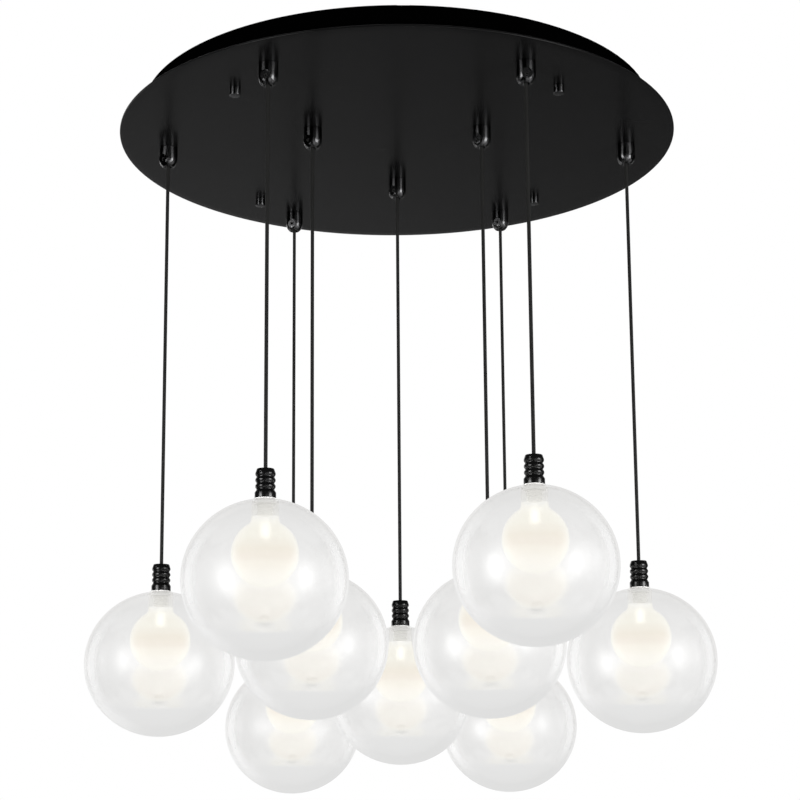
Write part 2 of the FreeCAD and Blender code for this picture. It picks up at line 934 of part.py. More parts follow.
def lamp_holder(number):
    """The ceramic holder: a plug in the shell and a threaded spigot down into the glass neck."""
    body = new_body(f"lamp_holder_{number}")
    plug = shell_bore_radius - d.fit_clearance
    spigot = d.spigot_diameter / 2
    revolve(
        body,
        f"holder_{number}",
        (0, holder_top_rise),
        (0, spigot_end_rise),
        (spigot, spigot_end_rise),
        (spigot, collar_rise),
        (plug, collar_rise),
        (plug, holder_top_rise),
    )
    first = spigot_end_rise + d.thread_pitch * THREAD_GROOVES - d.thread_pitch / 2
    groove = turn_groove(
        body,
        f"thread_groove_{number}",
        (spigot, first),
        d.thread_depth,
    )
    repeat_down(body, f"thread_grooves_{number}", groove, d.thread_pitch, THREAD_GROOVES)
    for side, sign in (("left", -1), ("right", 1)):
        drill(
            body,
            f"pin_hole_{side}_{number}",
            "XY_Plane",
            (sign * d.pin_spacing / 2, 0),
            d.pin_diameter / 2 + d.fit_clearance,
            away=True,
            offset=spigot_end_rise,
            depth=d.pin_length + d.fit_clearance,
        )
    return body


def lamp_capsule(number):
    """The capsule lamp: base, rounded envelope and two pins."""
    top = spigot_end_rise
    radius = d.lamp_diameter / 2
    base_bottom = top - d.lamp_base_height
    end = top - d.lamp_length + radius
    base_radius = d.lamp_base_diameter / 2
    base = cylinder(f"lamp_base_{number}", base_radius, d.lamp_base_height, base_bottom)
    envelope = cylinder(f"lamp_envelope_{number}", radius, base_bottom - end, end)
    tip = doc.addObject("Part::Sphere", f"lamp_tip_{number}")
    bind(tip, "Radius", radius)
    place(tip, z=end)
    pins = [
        cylinder(
            f"lamp_pin_{side}_{number}",
            d.pin_diameter / 2,
            d.pin_length,
            top,
            x=sign * d.pin_spacing / 2,
        )
        for side, sign in (("left", -1), ("right", 1))
    ]
    return fused(f"lamp_{number}", base, envelope, tip, *pins)


def socket_core(number):
    """What the shell and the glass neck hold: holder, seal, clamp ring, cord screw and lamp."""
    ring_bore = d.spigot_diameter / 2 + d.fit_clearance / 2
    seal = tube(
        f"seal_{number}", d.collar_diameter / 2, ring_bore, d.seal_thickness, neck_top_rise
    )
    ring = tube(
        f"clamp_ring_{number}",
        neck_bore_radius - d.ring_clearance,
        ring_bore,
        d.ring_thickness,
        neck_top_rise - d.ball_wall - d.ring_thickness,
    )
    screw = socket_screw(
        f"cord_screw_{number}",
        d.shell_screw_diameter,
        cord_radius,
        d.shell_top_diameter / 2,
        shell_top_rise - d.shell_screw_drop,
        0,
        0,
        0,
        0,
    )
    return group(
        f"socket_core_{number}",
        [lamp_holder(number), seal, ring, screw, lamp_capsule(number)],
    )


def inner_glass(number):
    """The opal glass: a ball with a neck that runs up to the globe's top and turns in."""
    body = new_body(f"inner_glass_{number}")
    neck, ball, fillet = d.neck_diameter / 2, d.ball_diameter / 2, d.neck_fillet
    wall, top, edge = d.ball_wall, neck_top_rise, d.neck_edge_radius
    opening = d.spigot_diameter / 2 + d.neck_opening_clearance
    fillet_centre = neck + fillet
    centre_rise = ((ball + fillet) * (ball + fillet) - fillet_centre * fillet_centre).root()
    fillet_height = d.ball_rise + centre_rise

    def meeting(radius):
        """Where the fillet runs into a ball of that radius about the same centre."""
        share = radius / (ball + fillet)
        return (fillet_centre * share, d.ball_rise + centre_rise * share)

    revolve(
        body,
        f"glass_{number}",
        (opening, top),
        (opening, top - wall),
        (neck_bore_radius, top - wall),
        (neck_bore_radius, fillet_height),
        (meeting(ball - wall), fillet + wall, "left"),
        ((ball - wall, d.ball_rise), ball - wall, "right"),
        ((0, d.ball_rise - ball + wall), ball - wall, "right"),
        (0, d.ball_rise - ball),
        ((ball, d.ball_rise), ball, "left"),
        (meeting(ball), ball, "left"),
        ((neck, fillet_height), fillet, "right"),
        (neck, top - edge),
        ((neck - edge, top), edge, "left"),
    )
    return body


def globe(number):
    """The clear outer globe, a little flatter than round, joined to the neck at its top."""
    half, rise, wall = d.globe_diameter / 2, d.globe_height / 2, d.globe_wall
    skins = []
    for name, inset in (("outside", 0), ("inside", wall)):
        skin = doc.addObject("Part::Ellipsoid", f"globe_{name}_{number}")
        bind(skin, "Radius1", rise - inset)
        bind(skin, "Radius2", half - inset)
        bind(skin, "Radius3", half - inset)
        skins.append(skin)
    shell = doc.addObject("Part::Cut", f"globe_shell_{number}")
    shell.Base, shell.Tool = skins
    whole = doc.addObject("Part::Cut", f"globe_{number}")
    whole.Base = shell
    whole.Tool = cylinder(f"globe_neck_hole_{number}", d.neck_diameter / 2, rise)
    return whole


def hanging_lamp(number):
    """The five sub-parts of one lamp, at its cord's place and its own height."""
    hang = getattr(d, f"hang_{number}")
    x, y = cord_place(number)
    pieces = {
        "cord": (cord(number, hang), 0),
        "socket_shell": (socket_shell(number), SHELL_SCREW_TURN),
        "socket_core": (socket_core(number), SHELL_SCREW_TURN),
        "inner_glass": (inner_glass(number), 0),
        "globe": (globe(number), 0),
    }
    placed = []
    for name, (piece, turn) in pieces.items():
        piece.Label = f"{name}_{number}"
        placed.append(place(piece, x, y, -hang, turn))
    return placed


# ---------------------------------------------------------------- build and write


def build():
    numbers = range(1, len(PLAN) + 1)
    parts = [
        canopy_plate(),
        ceiling_pan(),
        pan_studs(),
        stud_spacers(),
        canopy_nuts(),
        group("cord_grips", [cord_grip(number) for number in numbers]),
        grip_screws(),
        grip_washers(),
        grip_lock_nuts(),
        group("cord_tails", [cord_tail(number) for number in numbers]),
        junction_box(),
        junction_lid(),
        terminal_block(),
        supply_grommet(),
        earth_stud(),
    ]
    for number in numbers:
        parts.extend(hanging_lamp(number))
    doc.recompute()
    return parts


def check(parts):
    """Stops if any object failed, or a sub-part is empty or not valid."""
    failed = [
        item.Label
        for item in doc.Objects
        if "Invalid" in item.State or "Error" in item.State
    ]
    if failed:
        raise RuntimeError(f"failed objects: {failed}")
    for part in parts:
        if part.Shape.isNull() or not part.Shape.isValid() or not part.Shape.Solids:
            raise RuntimeError(f"bad shape: {part.Label}")


def write(parts):
    os.makedirs("parts", exist_ok=True)
    for part in parts:
        part.Shape.exportStep(f"parts/{part.Label}.step")
        print(part.Label, len(part.Shape.Solids), round(part.Shape.Volume, 1))


sub_parts = build()
check(sub_parts)
write(sub_parts)
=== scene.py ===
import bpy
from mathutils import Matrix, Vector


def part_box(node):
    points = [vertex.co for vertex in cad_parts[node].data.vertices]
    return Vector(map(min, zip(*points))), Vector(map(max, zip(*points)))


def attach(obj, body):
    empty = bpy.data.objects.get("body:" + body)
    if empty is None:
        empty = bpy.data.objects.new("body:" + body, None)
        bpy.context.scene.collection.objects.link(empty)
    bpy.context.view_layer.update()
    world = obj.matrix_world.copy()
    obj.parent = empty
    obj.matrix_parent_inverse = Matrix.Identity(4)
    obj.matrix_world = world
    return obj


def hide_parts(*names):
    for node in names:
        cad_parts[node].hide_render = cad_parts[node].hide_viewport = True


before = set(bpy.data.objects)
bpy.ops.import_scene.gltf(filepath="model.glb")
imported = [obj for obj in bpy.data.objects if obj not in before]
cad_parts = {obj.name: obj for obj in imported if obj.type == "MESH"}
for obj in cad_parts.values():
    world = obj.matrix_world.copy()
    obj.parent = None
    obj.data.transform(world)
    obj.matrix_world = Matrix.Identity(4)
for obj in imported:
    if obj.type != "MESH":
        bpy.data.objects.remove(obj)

"""Cluster pendant: nine glass globes with lit opal glasses on black cords under a round canopy.

Lengths in the classes are millimetres and are turned into metres where a mesh is made.
The origin is the middle of the canopy's top face, +Z is up and -Y faces the viewer.
"""

import logging
import math
from dataclasses import dataclass, field, replace
from enum import Enum
from typing import Any, Callable, Sequence

import bpy
import numpy as np
from mathutils import Euler, Vector

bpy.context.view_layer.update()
MM = 0.001
TURN = 2 * math.pi
LAMP_COUNT = 9
ROOT = "canopy"
CREASE = 35.0  # an edge that turns by more degrees than this stays sharp
LEAD = 0.01  # the short run, in millimetres, that leads an arc into a straight side
WHITE = (1.0, 1.0, 1.0)

log = logging.getLogger("cluster_pendant")

Colour = tuple[float, float, float]
Stops = Sequence[tuple[float, Any]]


class Part(Enum):
    """The pieces of one hanging lamp, by the stem of their node's name."""

    CORD = "cord"
    SHELL = "socket_shell"
    CORE = "socket_core"
    INNER_GLASS = "inner_glass"
    GLOBE = "globe"

    def node(self, number: int) -> str:
        """The node's name for the lamp with that number."""
        return f"{self.value}_{number}"


def placed(name: str, data: bpy.types.ID) -> bpy.types.Object:
    """A new object at the origin, in the scene's own collection.

    Args:
        name: the object's name.
        data: the mesh, curve, light or camera that it holds.

    Returns:
        The object.
    """
    item = bpy.data.objects.new(name, data)
    bpy.context.scene.collection.objects.link(item)
    return item


# ---------------------------------------------------------------- shader expressions


class Maths:
    """A number socket of a shader that can stand in a Python expression."""

    def __init__(self, shader: "Shader", socket: bpy.types.NodeSocket) -> None:
        """Keeps the shader that the socket belongs to.

        Args:
            shader: the shader that new Math nodes go into.
            socket: the output socket with the number.
        """
        self.shader = shader
        self.socket = socket

    def _joined(self, operation: str, left: Any, right: Any) -> "Maths":
        """One Math node of that operation on two numbers or sockets."""
        node = self.shader.node(
            "ShaderNodeMath", {"operation": operation}, {0: left, 1: right}
        )
        return Maths(self.shader, node.outputs[0])

    def __add__(self, other: Any) -> "Maths":
        """self + other."""
        return self._joined("ADD", self, other)

    def __radd__(self, other: Any) -> "Maths":
        """other + self."""
        return self._joined("ADD", other, self)

    def __sub__(self, other: Any) -> "Maths":
        """self - other."""
        return self._joined("SUBTRACT", self, other)

    def __rsub__(self, other: Any) -> "Maths":
        """other - self."""
        return self._joined("SUBTRACT", other, self)

    def __mul__(self, other: Any) -> "Maths":
        """self * other."""
        return self._joined("MULTIPLY", self, other)

    def __rmul__(self, other: Any) -> "Maths":
        """other * self."""
        return self._joined("MULTIPLY", other, self)

    def at_least(self, other: Any) -> "Maths":
        """The larger of the two."""
        return self._joined("MAXIMUM", self, other)

    def at_most(self, other: Any) -> "Maths":
        """The smaller of the two."""
        return self._joined("MINIMUM", self, other)


class Shader:
    """A material's or world's node tree, filled through one method for every kind of node."""

    def __init__(self, owner: bpy.types.Material | bpy.types.World) -> None:
        """Empties the owner's node tree.

        Args:
            owner: the material or world that the nodes are for.
        """
        owner.use_nodes = True
        self.tree = owner.node_tree
        self.tree.nodes.clear()

    def node(
        self,
        kind: str,
        settings: dict[str, Any] | None = None,
        inputs: dict[str | int, Any] | None = None,
    ) -> bpy.types.Node:
        """Adds a node, sets its settings and then its sockets.

        Args:
            kind: the node's type, such as ShaderNodeMath.
            settings: the node's own settings; "stops" fills a ramp with (place, grey or colour).
            inputs: values, sockets or Maths for the node's inputs, by name or number.

        Returns:
            The new node.
        """
        node = self.tree.nodes.new(kind)
        for name, value in (settings or {}).items():
            if name == "stops":
                self._fill_ramp(node, value)
            else:
                setattr(node, name, value)
        for key, value in (inputs or {}).items():
            socket = node.inputs[key]
            if isinstance(value, Maths):
                value = value.socket
            if isinstance(value, bpy.types.NodeSocket):
                self.tree.links.new(value, socket)
            elif socket.type == "RGBA" and len(value) == 3:
                socket.default_value = (*value, 1.0)
            else:
                socket.default_value = value
        return node

    @staticmethod
    def _fill_ramp(node: bpy.types.Node, stops: Stops) -> None:
        """Gives a Color Ramp its stops.

        Args:
            node: the Color Ramp.
            stops: (place, grey or colour), in order of place.
        """
        elements = node.color_ramp.elements
        while len(elements) < len(stops):
            elements.new(1.0)
        for element, (place, shade) in zip(elements, stops):
            element.position = place
            rgb = (shade,) * 3 if isinstance(shade, (int, float)) else shade
            element.color = (*rgb, 1.0)

    def ramp(self, value: Any, stops: Stops, curve: str = "EASE") -> bpy.types.NodeSocket:
        """A value from 0 to 1 turned into a grey or a colour.

        Args:
            value: the socket or expression that is read.
            stops: (place, grey or colour), in order of place.
            curve: how the ramp runs between stops.

        Returns:
            The ramp's colour socket.
        """
        node = self.node("ShaderNodeValToRGB", {"stops": stops}, {"Fac": value})
        node.color_ramp.interpolation = curve
        return node.outputs["Color"]

    def graded(self, value: Any, stops: Stops) -> Maths:
        """A value from 0 to 1 turned into another number, softly from stop to stop."""
        return Maths(self, self.ramp(value, stops))

    def place(self) -> bpy.types.NodeSocket:
        """The point on the piece, in metres, in the frame of the whole object."""
        return self.node("ShaderNodeTexCoord").outputs["Object"]

    def part_of(self, vector: bpy.types.NodeSocket, axis: str) -> Maths:
        """One of a vector's three numbers, by its axis."""
        return Maths(self, self.node("ShaderNodeSeparateXYZ", inputs={"Vector": vector}).outputs[axis])

    def rise(self) -> Maths:
        """The turned piece's own map, read upwards: 0 at its lowest point and 1 at its top."""
        return self.part_of(self.node("ShaderNodeTexCoord").outputs["UV"], "Y")

    def facing(self) -> Maths:
        """0 where the surface faces the eye and 1 where it is seen edge on."""
        return Maths(self, self.node("ShaderNodeLayerWeight", inputs={"Blend": 0.5}).outputs["Facing"])

    def from_behind(self) -> Maths:
        """1 where a ray meets the back of the surface, and 0 where it meets the front."""
        return Maths(self, self.node("ShaderNodeNewGeometry").outputs["Backfacing"])

    def ray(self, kind: str) -> Maths:
        """1 for a ray of that kind, such as Camera, Glossy or Shadow."""
        return Maths(self, self.node("ShaderNodeLightPath").outputs[f"Is {kind} Ray"])

    def noise(self, vector: Any, scale: float, detail: float = 2.0) -> Maths:
        """Soft random grey from 0 to 1, with that many waves to the metre."""
        inputs = {"Vector": vector, "Scale": scale, "Detail": detail, "Roughness": 0.5}
        return Maths(self, self.node("ShaderNodeTexNoise", inputs=inputs).outputs["Fac"])

    def bump(self, height: Any, depth: float) -> bpy.types.NodeSocket:
        """A normal bent by a height from 0 to 1, with its depth in metres."""
        inputs = {"Strength": 1.0, "Distance": depth, "Height": height}
        return self.node("ShaderNodeBump", inputs=inputs).outputs["Normal"]

    def principled(self, inputs: dict[str | int, Any]) -> bpy.types.NodeSocket:
        """A Principled shader with those inputs."""
        return self.node("ShaderNodeBsdfPrincipled", inputs=inputs).outputs["BSDF"]

    def clear(self) -> bpy.types.NodeSocket:
        """A shader that lets all light through."""
        return self.node("ShaderNodeBsdfTransparent").outputs["BSDF"]

    def glossy(self, roughness: float) -> bpy.types.NodeSocket:
        """A shader that mirrors all light, blurred by its roughness."""
        inputs = {"Color": WHITE, "Roughness": roughness}
        return self.node("ShaderNodeBsdfGlossy", inputs=inputs).outputs["BSDF"]

    def light(self, colour: Any, strength: float = 1.0, kind: str = "Emission") -> bpy.types.NodeSocket:
        """A shader that gives out light; the kind is Background in a world."""
        inputs = {"Color": colour, "Strength": strength}
        return self.node(f"ShaderNode{kind}", inputs=inputs).outputs[kind]

    def mixed(self, share: Any, first: Any, second: Any) -> bpy.types.NodeSocket:
        """A mix of two shaders; a share of 1 is all of the second."""
        node = self.node("ShaderNodeMixShader", inputs={0: share, 1: first, 2: second})
        return node.outputs["Shader"]

    def mixed_colour(self, share: Any, first: Any, second: Any) -> bpy.types.NodeSocket:
        """A mix of two colours; a share of 1 is all of the second. Sockets 6 and 7 are the colours."""
        inputs = {"Factor": share, 6: first, 7: second}
        return self.node("ShaderNodeMix", {"data_type": "RGBA"}, inputs).outputs[2]

    def finish(self, surface: Any, kind: str = "ShaderNodeOutputMaterial") -> None:
        """Joins the surface to the output."""
        self.node(kind, inputs={"Surface": surface})


# ---------------------------------------------------------------- finishes


@dataclass(frozen=True)
class Finish:
    """A finish that pieces share. Each kind fills its own shader."""

    name: str

    def material(self) -> bpy.types.Material:
        """The finish's material, made on first use. The frame's plain ones have the bare names.

        Returns:
            The one material with the finish's name.
        """
        name = f"{self.name}_finish"
        found = bpy.data.materials.get(name)
        if found is None:
            found = bpy.data.materials.new(name)
            self.fill(Shader(found))
        return found

    def fill(self, shader: Shader) -> None:
        """Makes the finish's nodes.

        Args:
            shader: the empty shader to fill.
        """
        raise NotImplementedError


@dataclass(frozen=True)
class Coating(Finish):
    """Paint, plating or moulding: one colour with fine grain in its gloss and relief.

    Colour and gloss change a little in soft patches, and grain is the relief of powder
    coat, ceramic glaze or cast plastic. Turning is how strongly fine lathe marks draw
    reflections out along the piece's axis.
    """

    colour: Colour
    roughness: float
    metallic: float = 0.0
    shine: float = 0.5
    coat: float = 0.0
    coat_roughness: float = 0.08
    turning: float = 0.0
    turning_angle: float = 0.25
    gloss_change: float = 0.06
    least_roughness: float = 0.02
    patch_scale: float = 18.0
    patch_detail: float = 3.0
    patch_share: float = 0.12
    patch_edges: tuple[float, float] = (0.3, 0.7)
    grain_scale: float = 900.0
    grain_depth: float = 0.00003

    def fill(self, shader: Shader) -> None:
        """A Principled surface with patchy gloss and colour and a fine relief.

        Args:
            shader: the empty shader to fill.
        """
        place = shader.place()
        patches = shader.noise(place, self.patch_scale, self.patch_detail)
        grain = shader.noise(place, self.grain_scale)
        shades = [
            tuple(min(1.0, c * (1 + change)) for c in self.colour)
            for change in (-self.patch_share, self.patch_share)
        ]
        patchy = (patches - 0.5) * self.gloss_change * 2
        grainy = (grain - 0.5) * self.gloss_change
        surface = shader.principled(
            {
                "Base Color": shader.ramp(patches, list(zip(self.patch_edges, shades)), "LINEAR"),
                "Roughness": (self.roughness + patchy + grainy).at_least(self.least_roughness),
                "Metallic": self.metallic,
                "Specular IOR Level": self.shine,
                "Coat Weight": self.coat,
                "Coat Roughness": self.coat_roughness,
                "Anisotropic": self.turning,
                "Anisotropic Rotation": self.turning_angle,
                "Normal": shader.bump(grain, self.grain_depth),
            }
        )
        shader.finish(surface)


@dataclass(frozen=True)
class ClearGlassOutside(Finish):
    """The globe's outer face.

    Its near side is clear and softly shiny, with a painted highlight beside each limb: a bright arc of
    emission.
    Its far side, seen through the globe, is a pale haze of painted light: an emission that
    glows the same under any lamp and hides what hangs behind. The painted light goes by
    height, from the globe's lowest point to its neck, brightest a little above the bottom
    and darker at the bottom and at the neck.
    """

    # painted light: the far side's emission colour, by height
    painted_haze_light: Stops = (
        (0.0, (0.80, 0.80, 0.795)),
        (0.2, (0.81, 0.81, 0.805)),
        (0.28, (0.88, 0.88, 0.875)),
        (0.8, (0.85, 0.845, 0.835)),
        (1.0, (0.79, 0.785, 0.775)),
    )
    # painted highlight: the arc's emission colour, its share, and where it shows by facing and by
    # height
    arc: Colour = (0.97, 0.97, 0.965)
    painted_arc_share: float = 0.85
    painted_arc_by_facing: Stops = ((0.42, 0.0), (0.56, 1.0), (0.62, 1.0), (0.76, 0.0))
    painted_arc_by_height: Stops = ((0.12, 0.0), (0.42, 1.0), (0.6, 1.0), (0.88, 0.0))
    bend: float = 1.45
    most_shine: float = 0.1
    roughness: float = 0.47

    def fill(self, shader: Shader) -> None:
        """Clear and glossy where it faces the eye, with a painted highlight arc near the limb; a
        glowing haze of painted light where its inside is seen.

        Args:
            shader: the empty shader to fill.
        """
        height = shader.rise()
        # painted highlight: an emission arc near the limb, strongest at mid-height
        limb = shader.graded(shader.facing(), self.painted_arc_by_facing)
        side = shader.graded(height, self.painted_arc_by_height)
        body = shader.mixed(limb * side * self.painted_arc_share, shader.clear(), shader.light(self.arc))
        fresnel = shader.node("ShaderNodeFresnel", inputs={"IOR": self.bend}).outputs["Fac"]
        shine = Maths(shader, fresnel).at_most(self.most_shine)
        near = shader.mixed(shine, body, shader.glossy(self.roughness))
        # painted light: the far side glows with the haze's emission colour by height
        far = shader.light(shader.ramp(height, self.painted_haze_light))
        seen = shader.mixed(shader.from_behind(), near, far)
        shader.finish(shader.mixed(shader.ray("Shadow"), seen, shader.clear()))


@dataclass(frozen=True)
class ClearGlassInside(Finish):
    """The globe's inner face: only its far side mirrors the lit glass, upside down."""

    mirror_share: float = 0.64
    mirror_start: float = 0.2
    mirror_blend: float = 0.03
    roughness: float = 0.12

    def fill(self, shader: Shader) -> None:
        """A clear face with a mirror image on the side that curves round the lamp.

        Args:
            shader: the empty shader to fill.
        """
        start, full = self.mirror_start, self.mirror_start + self.mirror_blend
        above = shader.graded(shader.rise(), [(start, 0.0), (full, 1.0)])
        share = (1.0 - shader.from_behind()) * above * self.mirror_share
        shader.finish(shader.mixed(share, shader.clear(), shader.glossy(self.roughness)))


@dataclass(frozen=True)
class PaintedGlowOpal(Finish):
    """Etched opal glass with painted light from the lamp inside, thin enough to show the lamp as a soft
    glow.

    The painted light goes by height, from the ball's lowest point to the neck's top: bright at
    the bottom, darker and warmer at mid-height, brightest just under the neck round the lamp,
    and grey in the neck.
    Only the faces that are met from outside the glass itself show, one for each wall.
    """

    # painted light: the glow's colour by height, with a painted hot band just under the neck
    middle: Stops = (
        (0.0, (1.0, 0.985, 0.93)),
        (0.1, (1.0, 0.97, 0.9)),
        (0.22, (0.98, 0.94, 0.845)),
        (0.31, (0.93, 0.866, 0.77)),
        (0.39, (0.905, 0.845, 0.735)),
        (0.47, (0.925, 0.88, 0.78)),
        (0.55, (0.96, 0.935, 0.84)),
        (0.68, (0.95, 0.925, 0.83)),
        (0.79, (1.0, 0.99, 0.94)),
        (0.805, (0.83, 0.825, 0.79)),
        (0.9, (0.80, 0.79, 0.76)),
        (1.0, (0.72, 0.71, 0.69)),
    )
    # painted highlight: the paler colour towards the rim, and how it grows by facing
    rim: Colour = (1.0, 0.98, 0.9)
    painted_rim_by_facing: Stops = ((0.25, 0.0), (0.85, 1.0))
    clearness: float = 0.35
    neck_start: float = 0.795
    neck_blend: float = 0.01
    neck_clearness: float = 0.42

    def fill(self, shader: Shader) -> None:
        """Painted cream light by height, with a painted highlight that makes it paler towards the rim,
        mixed with a view of what is inside.

        Args:
            shader: the empty shader to fill.
        """
        rise = shader.rise()
        low, high = self.neck_start, self.neck_start + self.neck_blend
        below_neck = shader.graded(rise, [(low, 1.0), (high, 0.0)])
        # painted highlight: how much of the paler rim colour shows, by facing
        edge = shader.graded(shader.facing(), self.painted_rim_by_facing)
        colour = shader.mixed_colour(edge * below_neck, shader.ramp(rise, self.middle), self.rim)
        clearness = shader.graded(rise, [(low, self.clearness), (high, self.neck_clearness)])
        # painted light: the wall glows with the painted colour instead of being lit by the lamp
        wall = shader.mixed(clearness, shader.light(colour), shader.clear())
        shader.finish(shader.mixed(shader.from_behind(), wall, shader.clear()))


@dataclass(frozen=True)
class LampGlow(Finish):
    """The capsule lamp's frosted envelope, whose light fades towards its sides and base.

    The colours and the fading by height go from the lamp's tip to its base.
    """

    colours: Stops = (
        (0.0, (1.0, 0.97, 0.9)),
        (0.45, (1.0, 0.97, 0.9)),
        (0.9, (0.6, 0.585, 0.54)),
    )
    strength: float = 2.2
    share_by_facing: Stops = ((0.0, 0.34), (0.11, 0.24), (0.28, 0.13), (0.5, 0.06), (0.9, 0.0))
    share_by_height: Stops = ((0.0, 0.1), (0.3, 0.8), (0.6, 1.0), (0.95, 0.4))

    def fill(self, shader: Shader) -> None:
        """Warm light that grows clear where the envelope is seen edge on.

        Args:
            shader: the empty shader to fill.
        """
        rise = shader.rise()
        soft = shader.graded(shader.facing(), self.share_by_facing)
        share = soft * shader.graded(rise, self.share_by_height)
        glow = shader.light(shader.ramp(rise, self.colours), self.strength)
        shader.finish(shader.mixed(share, shader.clear(), glow))


SATIN_BLACK = Coating(
    "satin_black", (0.003, 0.003, 0.0031), 0.24, shine=0.085, grain_scale=1400.0
)
PAN_BLACK = Coating("pan_black", (0.0003, 0.0003, 0.0003), 0.7, shine=0.0)
GLOSS_BLACK = Coating(
    "gloss_black",
    (0.04, 0.04, 0.041),
    0.24,
    metallic=1.0,
    coat=0.12,
    turning=0.92,
    gloss_change=0.03,
)
SHELL_BLACK = Coating(
    "shell_black", (0.003, 0.003, 0.003), 0.22, shine=0.28, grain_depth=0.000002
)
BLACK_STEEL = Coating("black_steel", (0.02, 0.02, 0.02), 0.35, metallic=0.4)
ZINC_STEEL = Coating(
    "zinc_steel", (0.56, 0.57, 0.59), 0.32, metallic=1.0, patch_scale=120.0
)
CORD_BLACK = Coating(
    "cord_black", (0.012, 0.012, 0.0116), 0.4, shine=0.05, grain_scale=1800.0, grain_depth=0.00001
)
WHITE_PLASTIC = Coating("white_plastic", (0.8, 0.8, 0.78), 0.45, patch_share=0.04)
WHITE_CERAMIC = Coating("white_ceramic", (0.84, 0.83, 0.8), 0.3, coat=0.3, patch_share=0.05)
SEAL_WHITE = Coating("seal_white", (0.86, 0.86, 0.85), 0.5, patch_share=0.03)
RUBBER_BLACK = Coating("rubber_black", (0.03, 0.03, 0.03), 0.75, shine=0.3)
GLOBE_OUTSIDE = ClearGlassOutside("clear_glass_outside")
GLOBE_INSIDE = ClearGlassInside("clear_glass_inside")
OPAL = PaintedGlowOpal("painted_glow_opal")
LAMP_LIGHT = LampGlow("lamp_glow")

CAD_FINISHES: dict[str, Finish] = {
    "ceiling_pan": PAN_BLACK,
    "pan_studs": ZINC_STEEL,
    "stud_spacers": ZINC_STEEL,
    "grip_screws": BLACK_STEEL,
    "grip_washers": ZINC_STEEL,
    "grip_lock_nuts": ZINC_STEEL,
    "cord_tails": CORD_BLACK,
    "junction_box": WHITE_PLASTIC,
    "junction_lid": WHITE_PLASTIC,
    "terminal_block": WHITE_CERAMIC,
    "supply_grommet": RUBBER_BLACK,
    "earth_stud": ZINC_STEEL,
}


# ---------------------------------------------------------------- turned surfaces


@dataclass(frozen=True)
class Turned:
    """The arrays of a surface turned about the vertical: points, faces, map and material numbers."""

    points: np.ndarray
    faces: list[list[int]]
    uv: np.ndarray
    slots: np.ndarray

    def laid(self, start: float, height: float) -> "Turned":
        """The surface laid along -Y, from a distance in front of the axis and at a height."""
        x, y, z = self.points.T
        return replace(self, points=np.stack([x, -start - z, y + height], 1))

    def shifted(self, side: float) -> "Turned":
        """The surface moved along X."""
        return replace(self, points=self.points + np.array([side, 0, 0]))


def rounded(corners: Sequence[tuple[float, float, float]], closed: bool, steps: int = 6) -> np.ndarray:
    """A half section with rounded corners.

    Each corner is (radius, height, fillet). A fillet is an arc that touches both of the
    corner's runs: its centre is on the corner's bisector, at the fillet over the sine of
    half the angle, and its ends are at the fillet over the tangent of half the angle.

    Args:
        corners: the corners in order, anticlockwise round solid material.
        closed: True if the last corner joins the first.
        steps: points along each arc.

    Returns:
        The section's points, one (radius, height) in each row.
    """
    sharp = np.array([c[:2] for c in corners], float)
    pieces = []
    for index, (_, _, fillet) in enumerate(corners):
        here = sharp[index]
        if fillet <= 0 or (not closed and index in (0, len(corners) - 1)):
            pieces.append(here[None])
            continue
        before = sharp[index - 1] - here
        after = sharp[(index + 1) % len(corners)] - here
        before, after = before / np.linalg.norm(before), after / np.linalg.norm(after)
        half = math.acos(float(np.clip(before @ after, -1, 1))) / 2
        middle = (before + after) / np.linalg.norm(before + after)
        centre = here + middle * fillet / math.sin(half)
        first = here + before * fillet / math.tan(half) - centre
        last = here + after * fillet / math.tan(half) - centre
        share = np.linspace(0, 1, steps)[:, None]
        sweep = math.pi - 2 * half
        arc = (first * np.sin((1 - share) * sweep) + last * np.sin(share * sweep)) / math.sin(sweep)
        pieces.append(centre + arc)
    return np.concatenate(pieces)


